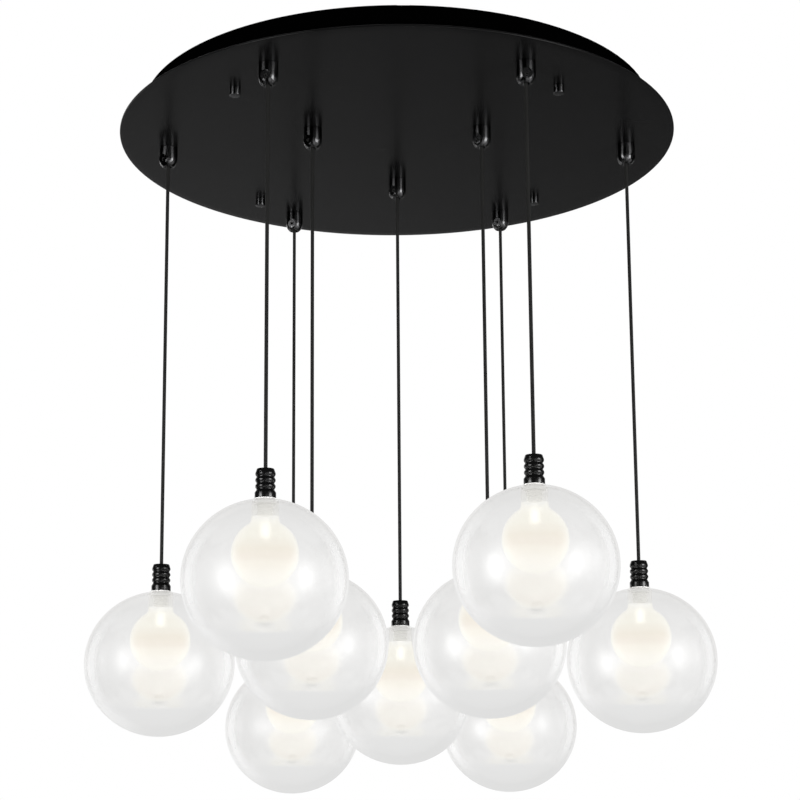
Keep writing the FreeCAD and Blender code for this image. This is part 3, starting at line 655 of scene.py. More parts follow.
def turned(
    section: np.ndarray,
    segments: int,
    closed: bool = False,
    slot: int = 0,
    wobble: Callable[[np.ndarray, np.ndarray], np.ndarray] | None = None,
) -> Turned:
    """A section spun about the vertical.

    A point at share s of a turn is (r cos 2 pi s, r sin 2 pi s, z). Rows on the axis become
    one point each, so poles and the seam are closed.

    Args:
        section: (radius, height) rows, upwards on an outside face.
        segments: steps in a full turn.
        closed: True if the last row joins the first.
        slot: the material number of all the faces.
        wobble: an optional change of radius, a function of height and angle.

    Returns:
        The turned surface, in millimetres.
    """
    angle = np.arange(segments) * TURN / segments
    radius, height = section[:, :1], section[:, 1:]
    spread = radius + (wobble(height, angle[None]) if wobble else 0.0)
    points = np.stack(
        [spread * np.cos(angle), spread * np.sin(angle), height + 0 * angle], -1
    ).reshape(-1, 3)
    number = np.arange(len(points)).reshape(-1, segments)
    pole = section[:, 0] < 1e-6
    number[pole] = number[pole, :1]
    share = (section[:, 1] - section[:, 1].min()) / np.ptp(section[:, 1])
    lower, upper = number, np.roll(number, -1, 0)
    low, high = share, np.roll(share, -1)
    if not closed:
        lower, upper, low, high = lower[:-1], upper[:-1], low[:-1], high[:-1]
    quads = np.stack([lower, np.roll(lower, -1, 1), np.roll(upper, -1, 1), upper], -1).reshape(-1, 4)
    left = np.arange(segments) / segments
    right = left + 1 / segments
    grid = (len(lower), segments, 4)
    across = np.broadcast_to(np.stack([left, right, right, left], -1), grid)
    along = np.broadcast_to(np.stack([low, low, high, high], -1)[:, None], grid)
    corner_uv = np.stack([across, along], -1).reshape(-1, 4, 2)
    from_pole = quads[:, 0] == quads[:, 1]
    to_pole = quads[:, 2] == quads[:, 3]
    kinds = (
        (~(from_pole | to_pole), [0, 1, 2, 3]),
        (from_pole, [0, 2, 3]),
        (to_pole, [0, 1, 2]),
    )
    chosen = [quads[which][:, corners] for which, corners in kinds]
    uv = np.concatenate([corner_uv[which][:, corners].reshape(-1, 2) for which, corners in kinds])
    used, back = np.unique(np.concatenate([part.ravel() for part in chosen]), return_inverse=True)
    faces = []
    for part in chosen:
        own, back = back[: part.size], back[part.size :]
        faces += own.reshape(part.shape).tolist()
    return Turned(points[used], faces, uv, np.full(len(faces), slot))


def disc(radius: float, low: float, high: float, low_edge: float, high_edge: float) -> np.ndarray:
    """The half section of a solid disc between two heights, with rounded rims."""
    corners = [(0, low, 0), (radius, low, low_edge), (radius, high, high_edge), (0, high, 0)]
    return rounded(corners, closed=False)


def rod(radius: float, low: float, high: float, segments: int, slot: int = 0) -> Turned:
    """A closed round bar on the vertical, between two heights."""
    section = np.array([[0, low], [radius, low], [radius, high], [0, high]], float)
    return turned(section, segments, slot=slot)


def joined(parts: Sequence[Turned]) -> Turned:
    """Several surfaces as one, each keeping its own material numbers.

    Args:
        parts: the surfaces.

    Returns:
        One surface with all their faces.
    """
    starts = np.cumsum([0] + [len(part.points) for part in parts])
    faces = [
        [start + corner for corner in face]
        for part, start in zip(parts, starts.tolist())
        for face in part.faces
    ]
    return Turned(
        np.concatenate([part.points for part in parts]),
        faces,
        np.concatenate([part.uv for part in parts]),
        np.concatenate([part.slots for part in parts]),
    )


@dataclass
class Pattern:
    """A mesh in its own place, ready to be copied to where the frame has it."""

    mesh: bpy.types.Mesh

    @classmethod
    def from_surface(
        cls, name: str, surface: Turned, finishes: Sequence[Finish], crease: float = CREASE
    ) -> "Pattern":
        """A mesh in metres from a surface in millimetres.

        Args:
            name: the mesh's name.
            surface: the surface's arrays.
            finishes: one finish for each material number.
            crease: the angle in degrees past which an edge stays sharp.

        Returns:
            The pattern that holds the mesh.
        """
        mesh = bpy.data.meshes.new(name)
        mesh.from_pydata((surface.points * MM).tolist(), [], surface.faces)
        layer = mesh.uv_layers.new(name="turned_map")
        layer.data.foreach_set("uv", surface.uv.astype(np.float32).ravel())
        for finish in finishes:
            mesh.materials.append(finish.material())
        mesh.polygons.foreach_set("material_index", surface.slots.astype(np.int32))
        pattern = cls(mesh)
        pattern.smooth(crease)
        return pattern

    def smooth(self, crease: float) -> None:
        """Shades the mesh smooth but for its sharp edges.

        Args:
            crease: the angle in degrees past which an edge stays sharp.
        """
        self.mesh.polygons.foreach_set("use_smooth", np.ones(len(self.mesh.polygons), bool))
        self.mesh.set_sharp_from_angle(angle=math.radians(crease))
        self.mesh.update()

    def cut(self, tools: Sequence["Pattern"]) -> None:
        """Cuts the tools' shapes out of the mesh, with an exact Boolean for each.

        Args:
            tools: closed patterns, which are used up.
        """
        work = placed("cut_work", self.mesh)
        helpers = [placed("cut_tool", tool.mesh) for tool in tools]
        for helper in helpers:
            modifier = work.modifiers.new("cut", "BOOLEAN")
            modifier.operation = "DIFFERENCE"
            modifier.solver = "EXACT"
            modifier.object = helper
        graph = bpy.context.evaluated_depsgraph_get()
        result = bpy.data.meshes.new_from_object(work.evaluated_get(graph))
        for item in (work, *helpers):
            bpy.data.objects.remove(item)
        self.mesh = result
        self.smooth(CREASE)

    def points(self) -> np.ndarray:
        """The mesh's points.

        Returns:
            The points in metres, one in each row.
        """
        flat = np.zeros(len(self.mesh.vertices) * 3)
        self.mesh.vertices.foreach_get("co", flat)
        return flat.reshape(-1, 3)

    def moved(self, name: str, place: Vector, turn: float = 0.0) -> "Pattern":
        """A copy turned about the vertical and then moved.

        Args:
            name: the copy's name.
            place: where the pattern's origin goes, in metres.
            turn: the turn in degrees, anticlockwise from above.

        Returns:
            The copy, with its place in its points.
        """
        copy = Pattern(self.mesh.copy())
        copy.mesh.name = name
        c, s = math.cos(math.radians(turn)), math.sin(math.radians(turn))
        spin = np.array([[c, s, 0], [-s, c, 0], [0, 0, 1]])
        points = copy.points() @ spin + np.array(place)
        copy.mesh.vertices.foreach_set("co", points.ravel())
        copy.mesh.update()
        return copy

    def repeated(
        self, name: str, places: Sequence[Vector], turns: Sequence[float] | None = None
    ) -> "Pattern":
        """One mesh that holds the pattern at each of several places.

        Args:
            name: the new mesh's name.
            places: where the pattern's origin goes, in metres.
            turns: each copy's turn in degrees, or None for no turns.

        Returns:
            The pattern that holds them all.
        """
        items = []
        for index, (place, turn) in enumerate(zip(places, turns or [0.0] * len(places))):
            copy = self.moved(f"{name}_{index}", place, turn)
            items.append(placed(copy.mesh.name, copy.mesh))
        with bpy.context.temp_override(active_object=items[0], selected_editable_objects=items):
            bpy.ops.object.join()
        whole = items[0].data
        whole.name = name
        bpy.data.objects.remove(items[0])
        return Pattern(whole)

    def piece(self, name: str, body: str, replaces: Sequence[str], slot: str) -> None:
        """Makes the mesh a piece of the object, at the origin.

        Args:
            name: the piece's name.
            body: the body that it rides on.
            replaces: the nodes that it stands for.
            slot: the record's material slot; not used.
        """
        item = placed(name, self.mesh)
        self.mesh.name = name
        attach(item, body)
        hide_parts(*replaces)
        log.info("%s rides on %s, %d faces", name, body, len(self.mesh.polygons))


# ---------------------------------------------------------------- canopy


@dataclass
class CordGrip:
    """A turned cord grip: straight top, curved nose, flared mouth, and a flat face round its screw."""

    shoulder: float = 0.3
    straight: float = 12.3
    height: float = 21.0
    radius: float = 9.75
    end_radius: float = 5.5
    mouth_radius: float = 4.0
    mouth_depth: float = 3.0
    mouth_edge: float = 1.2
    bore_radius: float = 2.2
    bore_overlap: float = 0.1
    shank_radius: float = 5.0
    shank_rise: float = 7.8
    shank_edge: float = 0.4
    screw_drop: float = 13.7
    screw_radius: float = 2.0
    face_radius: float = 5.0
    face_distance: float = 7.75
    nose_steps: int = 14
    rod_segments: int = 48
    segments: int = 96

    def section(self) -> np.ndarray:
        """The half section, anticlockwise, with the nose as an arc that starts upright.

        The arc drops by the nose's height and comes in by its inset, so its radius is
        (inset squared + drop squared) over twice the inset.

        Returns:
            The section's points, one (radius, height) in each row.
        """
        inset = self.radius - self.end_radius
        drop = self.height - self.straight
        nose = (inset**2 + drop**2) / (2 * inset)
        sweep = np.linspace(math.asin(drop / nose), 0, self.nose_steps)
        arc = np.stack(
            [self.radius - nose + nose * np.cos(sweep), -self.straight - nose * np.sin(sweep)], 1
        )
        top = rounded(
            [
                (self.radius, -self.straight + LEAD, 0),
                (self.radius, 0, self.shoulder),
                (self.shank_radius, 0, 0),
                (self.shank_radius, self.shank_rise, self.shank_edge),
                (self.bore_radius, self.shank_rise, 0),
                (self.bore_radius, self.mouth_depth - self.height, self.mouth_edge),
                (self.mouth_radius, -self.height, 0),
            ],
            closed=False,
        )
        return np.concatenate([arc, top])

    def pattern(self) -> Pattern:
        """The grip's mesh, with its screw hole at the front (towards -Y).

        Returns:
            The grip, with the plate's underside at its origin.
        """
        grip = Pattern.from_surface(
            "cord_grip", turned(self.section(), self.segments, closed=True), [GLOSS_BLACK]
        )
        face = self._tool(self.face_radius, self.face_distance)
        hole = self._tool(self.screw_radius, self.bore_radius - self.bore_overlap)
        grip.cut([face, hole])
        return grip

    def _tool(self, radius: float, start: float) -> Pattern:
        """A closed rod along -Y at the screw's height, from a distance outwards."""
        bar = rod(radius, 0, 2 * self.radius, self.rod_segments)
        return Pattern.from_surface("rod", bar.laid(start, -self.screw_drop), [GLOSS_BLACK])


@dataclass
class Canopy:
    """The round canopy: plate, nuts and grips as new surfaces, the rest as the frame has it."""

    plate_edge: float = 0.7
    plate_rings: tuple[float, ...] = (0.25, 0.5, 0.75, 0.96)
    plate_crease: float = 50.0
    nut_radius: float = 5.5
    nut_height: float = 8.5
    nut_edge: float = 0.9
    nut_foot: float = 0.2
    grip: CordGrip = field(default_factory=CordGrip)
    grip_turns: tuple[float, ...] = (-38, -14, -38, -20, -33, -35, -30, 6, 55)
    plate_segments: int = 360
    nut_segments: int = 48

    def build(self, cords: Sequence[Vector]) -> None:
        """Makes the canopy's pieces.

        Args:
            cords: the top point of each cord, which gives the grips' places.
        """
        self._plate()
        self._nuts()
        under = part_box("canopy_plate")[0].z
        places = [Vector((top.x, top.y, under)) for top in cords]
        grips = self.grip.pattern().repeated("cord_grips_turned", places, self.grip_turns)
        grips.piece("cord_grips_turned", ROOT, ["cord_grips"], "gloss_black")
        self._dress()

    @staticmethod
    def _dress() -> None:
        """Gives the frame's own pieces their finishes."""
        for node, finish in CAD_FINISHES.items():
            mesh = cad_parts[node].data
            mesh.materials.clear()
            mesh.materials.append(finish.material())

    def _plate(self) -> None:
        """The plate: a disc with a softened rim and rings of points across both faces."""
        low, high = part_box("canopy_plate")
        radius = (high.x - low.x) / 2 / MM
        bottom, top = low.z / MM, high.z / MM
        rim = disc(radius, bottom, top, self.plate_edge, self.plate_edge)
        under = np.array([[radius * share, bottom] for share in self.plate_rings])
        over = np.array([[radius * share, top] for share in reversed(self.plate_rings)])
        section = np.concatenate([rim[:1], under, rim[1:-1], over, rim[-1:]])
        plate = Pattern.from_surface(
            "plate", turned(section, self.plate_segments), [SATIN_BLACK], self.plate_crease
        )
        plate.piece("canopy_plate_turned", ROOT, ["canopy_plate"], "satin_black")

    def _nuts(self) -> None:
        """The four blind nuts under the plate, with softened ends."""
        section = disc(self.nut_radius, -self.nut_height, 0, self.nut_edge, self.nut_foot)
        low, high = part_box("canopy_nuts")
        reach = (high.x - low.x) / 2 - self.nut_radius * MM
        places = [Vector((x, y, high.z)) for x in (-reach, reach) for y in (-reach, reach)]
        nut = Pattern.from_surface("nut", turned(section, self.nut_segments), [GLOSS_BLACK])
        nuts = nut.repeated("canopy_nuts_turned", places)
        nuts.piece("canopy_nuts_turned", ROOT, ["canopy_nuts"], "gloss_black")


# ---------------------------------------------------------------- one hanging lamp


@dataclass
class SocketShell:
    """The ribbed black shell above the glass. Heights are above the globe's centre."""

    bottom: float = 73.4
    height: float = 27.0
    top_radius: float = 7.85
    shoulder_drop: float = 4.2
    shoulder_step: tuple[float, float] = (0.05, 0.3)
    rib_radius: float = 9.2
    rib_start: float = 0.35
    rib_rows: int = 90
    groove_depth: float = 1.05
    groove_pitch: float = 5.7
    groove_count: int = 3
    lowest_groove: float = 8.1
    groove_half_width: float = 2.5
    collar_radius: float = 9.7
    collar_height: float = 5.6
    foot_edge: float = 0.4
    collar_edge: float = 0.5
    rib_edge: float = 0.1
    cap_edge: float = 0.3
    bore_radius: float = 7.0
    cord_radius: float = 1.9
    cap_height: float = 9.5
    screw_drop: float = 3.7
    screw_radius: float = 1.5
    screw_reach: float = 12.0
    screw_segments: int = 32
    segments: int = 96

    def section(self) -> np.ndarray:
        """The half section: plain collar, rounded ribs, tapered top, bore.

        The ribbed stretch is the rib's radius less the groove's depth times a raised
        cosine round each groove's middle, so crests are round and grooves are smooth.

        Returns:
            The section's points, one (radius, height) in each row.
        """
        start = self.collar_height + self.rib_start
        end = self.height - self.shoulder_drop
        rise = np.linspace(start, end, self.rib_rows)
        middles = self.lowest_groove + self.groove_pitch * np.arange(self.groove_count)
        away = np.abs(rise[:, None] - middles[None]).min(1) / self.groove_half_width
        dip = np.where(away < 1, 0.5 + 0.5 * np.cos(np.pi * np.minimum(away, 1)), 0)
        ribs = np.stack([self.rib_radius - self.groove_depth * dip, self.bottom + rise], 1)
        top, bottom = self.bottom + self.height, self.bottom
        step_in, step_up = self.shoulder_step
        collar = rounded(
            [
                (self.bore_radius, bottom, 0),
                (self.collar_radius, bottom, self.foot_edge),
                (self.collar_radius, bottom + self.collar_height, self.collar_edge),
                (self.rib_radius, bottom + self.collar_height, self.rib_edge),
                (self.rib_radius, bottom + start, 0),
            ],
            closed=False,
        )
        cap = rounded(
            [
                (self.rib_radius, bottom + end, 0),
                (self.rib_radius - step_in, bottom + end + step_up, self.cap_edge),
                (self.top_radius, top, self.cap_edge),
                (self.cord_radius, top, self.cap_edge),
                (self.cord_radius, top - self.cap_height, 0),
                (self.bore_radius, top - self.cap_height, 0),
            ],
            closed=False,
        )
        return np.concatenate([collar[:-1], ribs, cap[1:]])

    def pattern(self) -> Pattern:
        """The shell's mesh with its screw hole at the front (towards -Y).

        Returns:
            The shell, with the globe's centre at its origin.
        """
        shell = Pattern.from_surface(
            "shell", turned(self.section(), self.segments, closed=True), [SHELL_BLACK]
        )
        bar = rod(self.screw_radius, 0, self.screw_reach, self.screw_segments)
        height = self.bottom + self.height - self.screw_drop
        shell.cut([Pattern.from_surface("rod", bar.laid(self.cord_radius, height), [SHELL_BLACK])])
        return shell


@dataclass
class SocketCore:
    """What the shell and neck hold: threaded ceramic holder, seal, clamp ring, cord screw, lamp."""

    top: float = 90.8
    bottom: float = 57.9
    collar: float = 73.4
    plug_radius: float = 6.9
    spigot_radius: float = 7.4
    edge: float = 0.5
    clearance: float = 0.05
    thread_pitch: float = 3.0
    thread_depth: float = 0.7
    thread_fade: float = 1.5
    thread_foot: float = 1.0
    thread_top_gap: float = 0.4
    thread_rows: int = 80
    seal_radius: float = 9.7
    seal_thickness: float = 0.8
    seal_edge: float = 0.2
    ring_top: float = 71.0
    ring_thickness: float = 2.8
    ring_radius: float = 10.2
    lamp_radius: float = 6.5
    lamp_length: float = 24.0
    lamp_shoulder: float = 0.8
    lamp_base_radius: float = 5.5
    lamp_base_height: float = 5.0
    lamp_tip_steps: int = 16
    lamp_segments: int = 48
    pin_radius: float = 0.6
    pin_length: float = 6.0
    pin_spacing: float = 6.0
    pin_segments: int = 12
    screw_height: float = 96.7
    screw_start: float = 1.8
    screw_end: float = 7.85
    screw_radius: float = 1.4
    screw_segments: int = 24
    key_radius: float = 0.8
    key_depth: float = 1.5
    segments: int = 64

    def holder(self) -> Turned:
        """The ceramic holder. Its thread is a wave of radius that climbs one pitch a turn.

        Returns:
            The holder's surface.
        """
        low, high = self.bottom + self.thread_foot, self.ring_top - self.thread_top_gap
        rows = np.linspace(low, high, self.thread_rows)
        spigot = np.stack([np.full_like(rows, self.spigot_radius), rows], 1)
        under = rounded(
            [
                (0, self.bottom, 0),
                (self.spigot_radius, self.bottom, self.edge),
                (self.spigot_radius, low, 0),
            ],
            closed=False,
        )
        over = rounded(
            [
                (self.spigot_radius, high, 0),
                (self.spigot_radius, self.collar, 0),
                (self.plug_radius, self.collar, 0),
                (self.plug_radius, self.top, self.edge),
                (0, self.top, 0),
            ],
            closed=False,
        )

        def thread(height: np.ndarray, angle: np.ndarray) -> np.ndarray:
            """How far the thread cuts in, fading out at both ends.

            Args:
                height: the points' heights, one in each row.
                angle: the points' angles, in one row.

            Returns:
                The change of radius at each height and angle.
            """
            near_end = np.minimum(height - low, high - height)
            wave = 0.5 + 0.5 * np.cos(TURN * (height / self.thread_pitch - angle / TURN))
            return -self.thread_depth * wave * np.clip(near_end / self.thread_fade, 0, 1)

        return turned(np.concatenate([under[:-1], spigot, over[1:]]), self.segments, wobble=thread)

    def ring(self, radius: float, low: float, high: float, edge: float) -> Turned:
        """A plain ring round the spigot with softened outer edges.

        Args:
            radius: the outer radius.
            low: the height of the underside.
            high: the height of the top.
            edge: the outer edges' fillet.

        Returns:
            The ring's surface.
        """
        bore = self.spigot_radius + self.clearance
        section = rounded(
            [(bore, low, 0), (radius, low, edge), (radius, high, edge), (bore, high, 0)], closed=True
        )
        return turned(section, self.segments, closed=True)

    def lamp(self) -> Turned:
        """The capsule lamp: narrow base, straight envelope, round end, two pins.

        Returns:
            The lamp's surface, with the pins under the second material number.
        """
        top = self.bottom
        end = top - self.lamp_length
        base = top - self.lamp_base_height
        sweep = np.linspace(-math.pi / 2, 0, self.lamp_tip_steps)
        tip = np.stack(
            [self.lamp_radius * np.cos(sweep), end + self.lamp_radius * (1 + np.sin(sweep))], 1
        )
        tip[0, 0] = 0
        body = rounded(
            [
                (self.lamp_radius, end + self.lamp_radius, 0),
                (self.lamp_radius, base, self.lamp_shoulder),
                (self.lamp_base_radius, base, 0),
                (self.lamp_base_radius, top, 0),
                (0, top, 0),
            ],
            closed=False,
        )
        capsule = turned(np.concatenate([tip, body[1:]]), self.lamp_segments)
        pin = rod(self.pin_radius, top, top + self.pin_length, self.pin_segments, slot=1)
        half = self.pin_spacing / 2
        return joined([capsule, pin.shifted(-half), pin.shifted(half)])

    def screw(self) -> Turned:
        """The cord's grub screw with its key socket, in the shell's hole.

        Returns:
            The screw's surface, laid towards the front.
        """
        length = self.screw_end - self.screw_start
        section = np.array(
            [
                [0, 0],
                [self.screw_radius, 0],
                [self.screw_radius, length],
                [self.key_radius, length],
                [self.key_radius, length - self.key_depth],
                [0, length - self.key_depth],
            ]
        )
        return turned(section, self.screw_segments).laid(self.screw_start, self.screw_height)

    def patterns(self) -> dict[str, tuple[Pattern, str]]:
        """The meshes of the core's five pieces.

        Returns:
            Each piece's mesh and the record's slot for it, by the stem of the piece's name.
        """
        seal = self.ring(
            self.seal_radius, self.collar - self.seal_thickness, self.collar, self.seal_edge
        )
        clamp = self.ring(
            self.ring_radius, self.ring_top - self.ring_thickness, self.ring_top, self.edge
        )
        holder = Pattern.from_surface("holder", self.holder(), [WHITE_CERAMIC])
        screw = Pattern.from_surface("screw", self.screw(), [BLACK_STEEL])
        lamp = Pattern.from_surface("lamp", self.lamp(), [LAMP_LIGHT, ZINC_STEEL])
        return {
            "lamp_holder": (holder, "white_ceramic"),
            "neck_seal": (Pattern.from_surface("seal", seal, [SEAL_WHITE]), "white_ceramic"),
            "clamp_ring": (Pattern.from_surface("clamp", clamp, [SEAL_WHITE]), "white_ceramic"),
            "cord_screw": (screw, "shell_black"),
            "capsule_lamp": (lamp, "opal_glass"),
        }


@dataclass
class InnerGlass:
    """The opal glass: a ball with a neck that turns in under the seal."""

    ball_radius: float = 30.3
    ball_rise: float = 23.5
    neck_radius: float = 12.3
    fillet: float = 7.0
    top: float = 72.6
    wall: float = 1.6
    edge: float = 1.2
    opening: float = 8.0
    opening_edge: float = 0.3
    skin_gap: float = 0.2
    ball_steps: int = 72
    fillet_steps: int = 16
    neck_steps: int = 12
    segments: int = 96

    def _skin(self, inset: float) -> np.ndarray:
        """The outline from the ball's lowest point up to the neck's straight stretch.

        The ball's arc and the fillet's arc touch where the line of their centres crosses
        both, and the fillet ends level with its own centre, where the neck is upright.

        Args:
            inset: how far inside the outer face the outline runs.

        Returns:
            The outline's points, one (radius, height) in each row.
        """
        ball, neck = self.ball_radius - inset, self.neck_radius - inset
        fillet = self.fillet + inset
        side = neck + fillet
        lift = math.sqrt((ball + fillet) ** 2 - side**2)
        meet = math.atan2(lift, side)
        low = np.linspace(-math.pi / 2, meet, self.ball_steps)
        high = np.linspace(math.pi + meet, math.pi, self.fillet_steps)
        round_part = np.stack([ball * np.cos(low), self.ball_rise + ball * np.sin(low)], 1)
        round_part[0, 0] = 0
        hollow = np.stack(
            [side + fillet * np.cos(high), self.ball_rise + lift + fillet * np.sin(high)], 1
        )
        neck_end = self.top - self.edge - self.skin_gap
        rows = np.linspace(hollow[-1, 1], neck_end, self.neck_steps)[1:]
        upright = np.stack([np.full_like(rows, neck), rows], 1)
        return np.concatenate([round_part, hollow[1:], upright])

    def pattern(self) -> Pattern:
        """The closed glass: outer skin, turned-in top, and inner skin back to the bottom.

        Returns:
            The glass, with the globe's centre at its origin.
        """
        outer, inner = self._skin(0), self._skin(self.wall)
        under, within = self.top - self.wall, self.neck_radius - self.wall
        lip = rounded(
            [
                (self.neck_radius, self.top - self.edge - self.skin_gap / 2, 0),
                (self.neck_radius, self.top, self.edge),
                (self.opening, self.top, self.opening_edge),
                (self.opening, under, self.opening_edge),
                (within, under, 0),
                (within, under - self.skin_gap, 0),
            ],
            closed=False,
        )
        glass = turned(np.concatenate([outer, lip, inner[::-1]]), self.segments)
        return Pattern.from_surface("inner_glass", glass, [OPAL])


@dataclass
class Globe:
    """The clear outer globe: two nested skins, a little flatter than round, open at the neck."""

    radius: float = 75.0
    half_height: float = 72.7
    wall: float = 1.8
    neck_radius: float = 12.3
    crease: float = 60.0
    segments: int = 128
    rows: int = 96

    def _skin(self, inset: float) -> np.ndarray:
        """Half an ellipse from the lowest point up to the neck's hole.

        A point at angle a is (half width times cos a, half height times sin a).

        Args:
            inset: how far inside the outer face the outline runs.

        Returns:
            The outline's points, one (radius, height) in each row.
        """
        wide, tall = self.radius - inset, self.half_height - inset
        end = math.acos(self.neck_radius / wide)
        sweep = np.linspace(-math.pi / 2, end, self.rows)
        skin = np.stack([wide * np.cos(sweep), tall * np.sin(sweep)], 1)
        skin[0, 0] = 0
        return skin

    def pattern(self) -> Pattern:
        """The two skins and the thin ring between them round the neck.

        Returns:
            The globe, with its centre at its origin.
        """
        outer, inner = self._skin(0), self._skin(self.wall)
        outside = turned(outer, self.segments, slot=0)
        inside = turned(inner[::-1], self.segments, slot=1)
        ring = turned(np.stack([outer[-1], inner[-1]]), self.segments, slot=1)
        return Pattern.from_surface(
            "globe", joined([outside, ring, inside]), [GLOBE_OUTSIDE, GLOBE_INSIDE], self.crease
        )


@dataclass
class HangingLamp:
    """One lamp: its number, and where the frame has it."""

    number: int
    shell_turn: float = -31.0
    globe_half_height: float = Globe.half_height
    cord_diameter: float = 3.6
    bend_distance: float = 22.0
    cord_steps: int = 6

    @property
    def body(self) -> str:
        """The body that the lamp rides on."""
        return f"pendant_{self.number}"

    @property
    def centre(self) -> Vector:
        """The point that the lamp's pieces are drawn about.

        Returns:
            The globe's centre, in metres.
        """
        low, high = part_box(Part.GLOBE.node(self.number))
        middle = (low + high) / 2
        return Vector((middle.x, middle.y, low.z + self.globe_half_height * MM))

    @property
    def cord_ends(self) -> tuple[Vector, Vector]:
        """The ends of the cord.

        Returns:
            Its top point, where it leaves the grip, and its bottom point in the shell.
        """
        low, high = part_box(Part.CORD.node(self.number))
        x, y = (low.x + high.x) / 2, (low.y + high.y) / 2
        return Vector((x, y, high.z)), Vector((x, y, low.z))

    def build(self, patterns: dict[Part, Pattern], core: dict[str, tuple[Pattern, str]]) -> None:
        """Makes the lamp's pieces from patterns that all the lamps share.

        Args:
            patterns: the shell's, inner glass's and globe's meshes.
            core: the socket core's meshes and slots by piece name.
        """
        slots = {
            Part.SHELL: "shell_black",
            Part.INNER_GLASS: "opal_glass",
            Part.GLOBE: "clear_glass",
        }
        for part, pattern in patterns.items():
            turn = self.shell_turn if part is Part.SHELL else 0.0
            name = f"{part.value}_turned_{self.number}"
            pattern.moved(name, self.centre, turn).piece(
                name, self.body, [part.node(self.number)], slots[part]
            )
        for stem, (pattern, slot) in core.items():
            name = f"{stem}_{self.number}"
            pattern.moved(name, self.centre, self.shell_turn).piece(
                name, self.body, [Part.CORE.node(self.number)], slot
            )

    def cord(self) -> None:
        top, bottom = self.cord_ends
        near_bottom = bottom + Vector((0, 0, self.bend_distance * MM))
        route = [top, near_bottom, bottom]
        name = f"cord_line_{self.number}"
        curve = bpy.data.curves.new(name, "CURVE")
        curve.dimensions = "3D"
        spline = curve.splines.new("NURBS")
        spline.points.add(len(route) - 1)
        flat = [value for point in route for value in (*point, 1.0)]
        spline.points.foreach_set("co", flat)
        spline.order_u = 3
        spline.use_endpoint_u = True
        curve.bevel_depth = self.cord_diameter * MM / 2
        curve.bevel_resolution = self.cord_steps
        curve.use_fill_caps = True
        curve.materials.append(CORD_BLACK.material())
        item = placed(name, curve)
        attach(item, self.body)
        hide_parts(Part.CORD.node(self.number))
        log.info("%s is %.3f m long", name, (top - bottom).length)


# ---------------------------------------------------------------- studio


@dataclass(frozen=True)
class Softbox:
    """A flat light: its direction from the lamp as azimuth and elevation, its distance and size."""

    name: str
    azimuth: float
    elevation: float
    distance: float
    width: float
    height: float
    power: float
    aim: tuple[float, float, float] = (0.0, 0.0, -0.45)

    def build(self) -> None:
        """Places the light and turns it to its aim. The camera doesn't see it."""
        data = bpy.data.lights.new(self.name, "AREA")
        data.shape = "RECTANGLE"
        data.size, data.size_y = self.width, self.height
        data.energy = self.power
        item = placed(self.name, data)
        side, up = math.radians(self.azimuth), math.radians(self.elevation)
        out = Vector((math.sin(side) * math.cos(up), -math.cos(side) * math.cos(up), math.sin(up)))
        item.location = Vector(self.aim) + out * self.distance
        item.rotation_euler = (-out).to_track_quat("-Z", "Y").to_euler()
        item.visible_camera = False


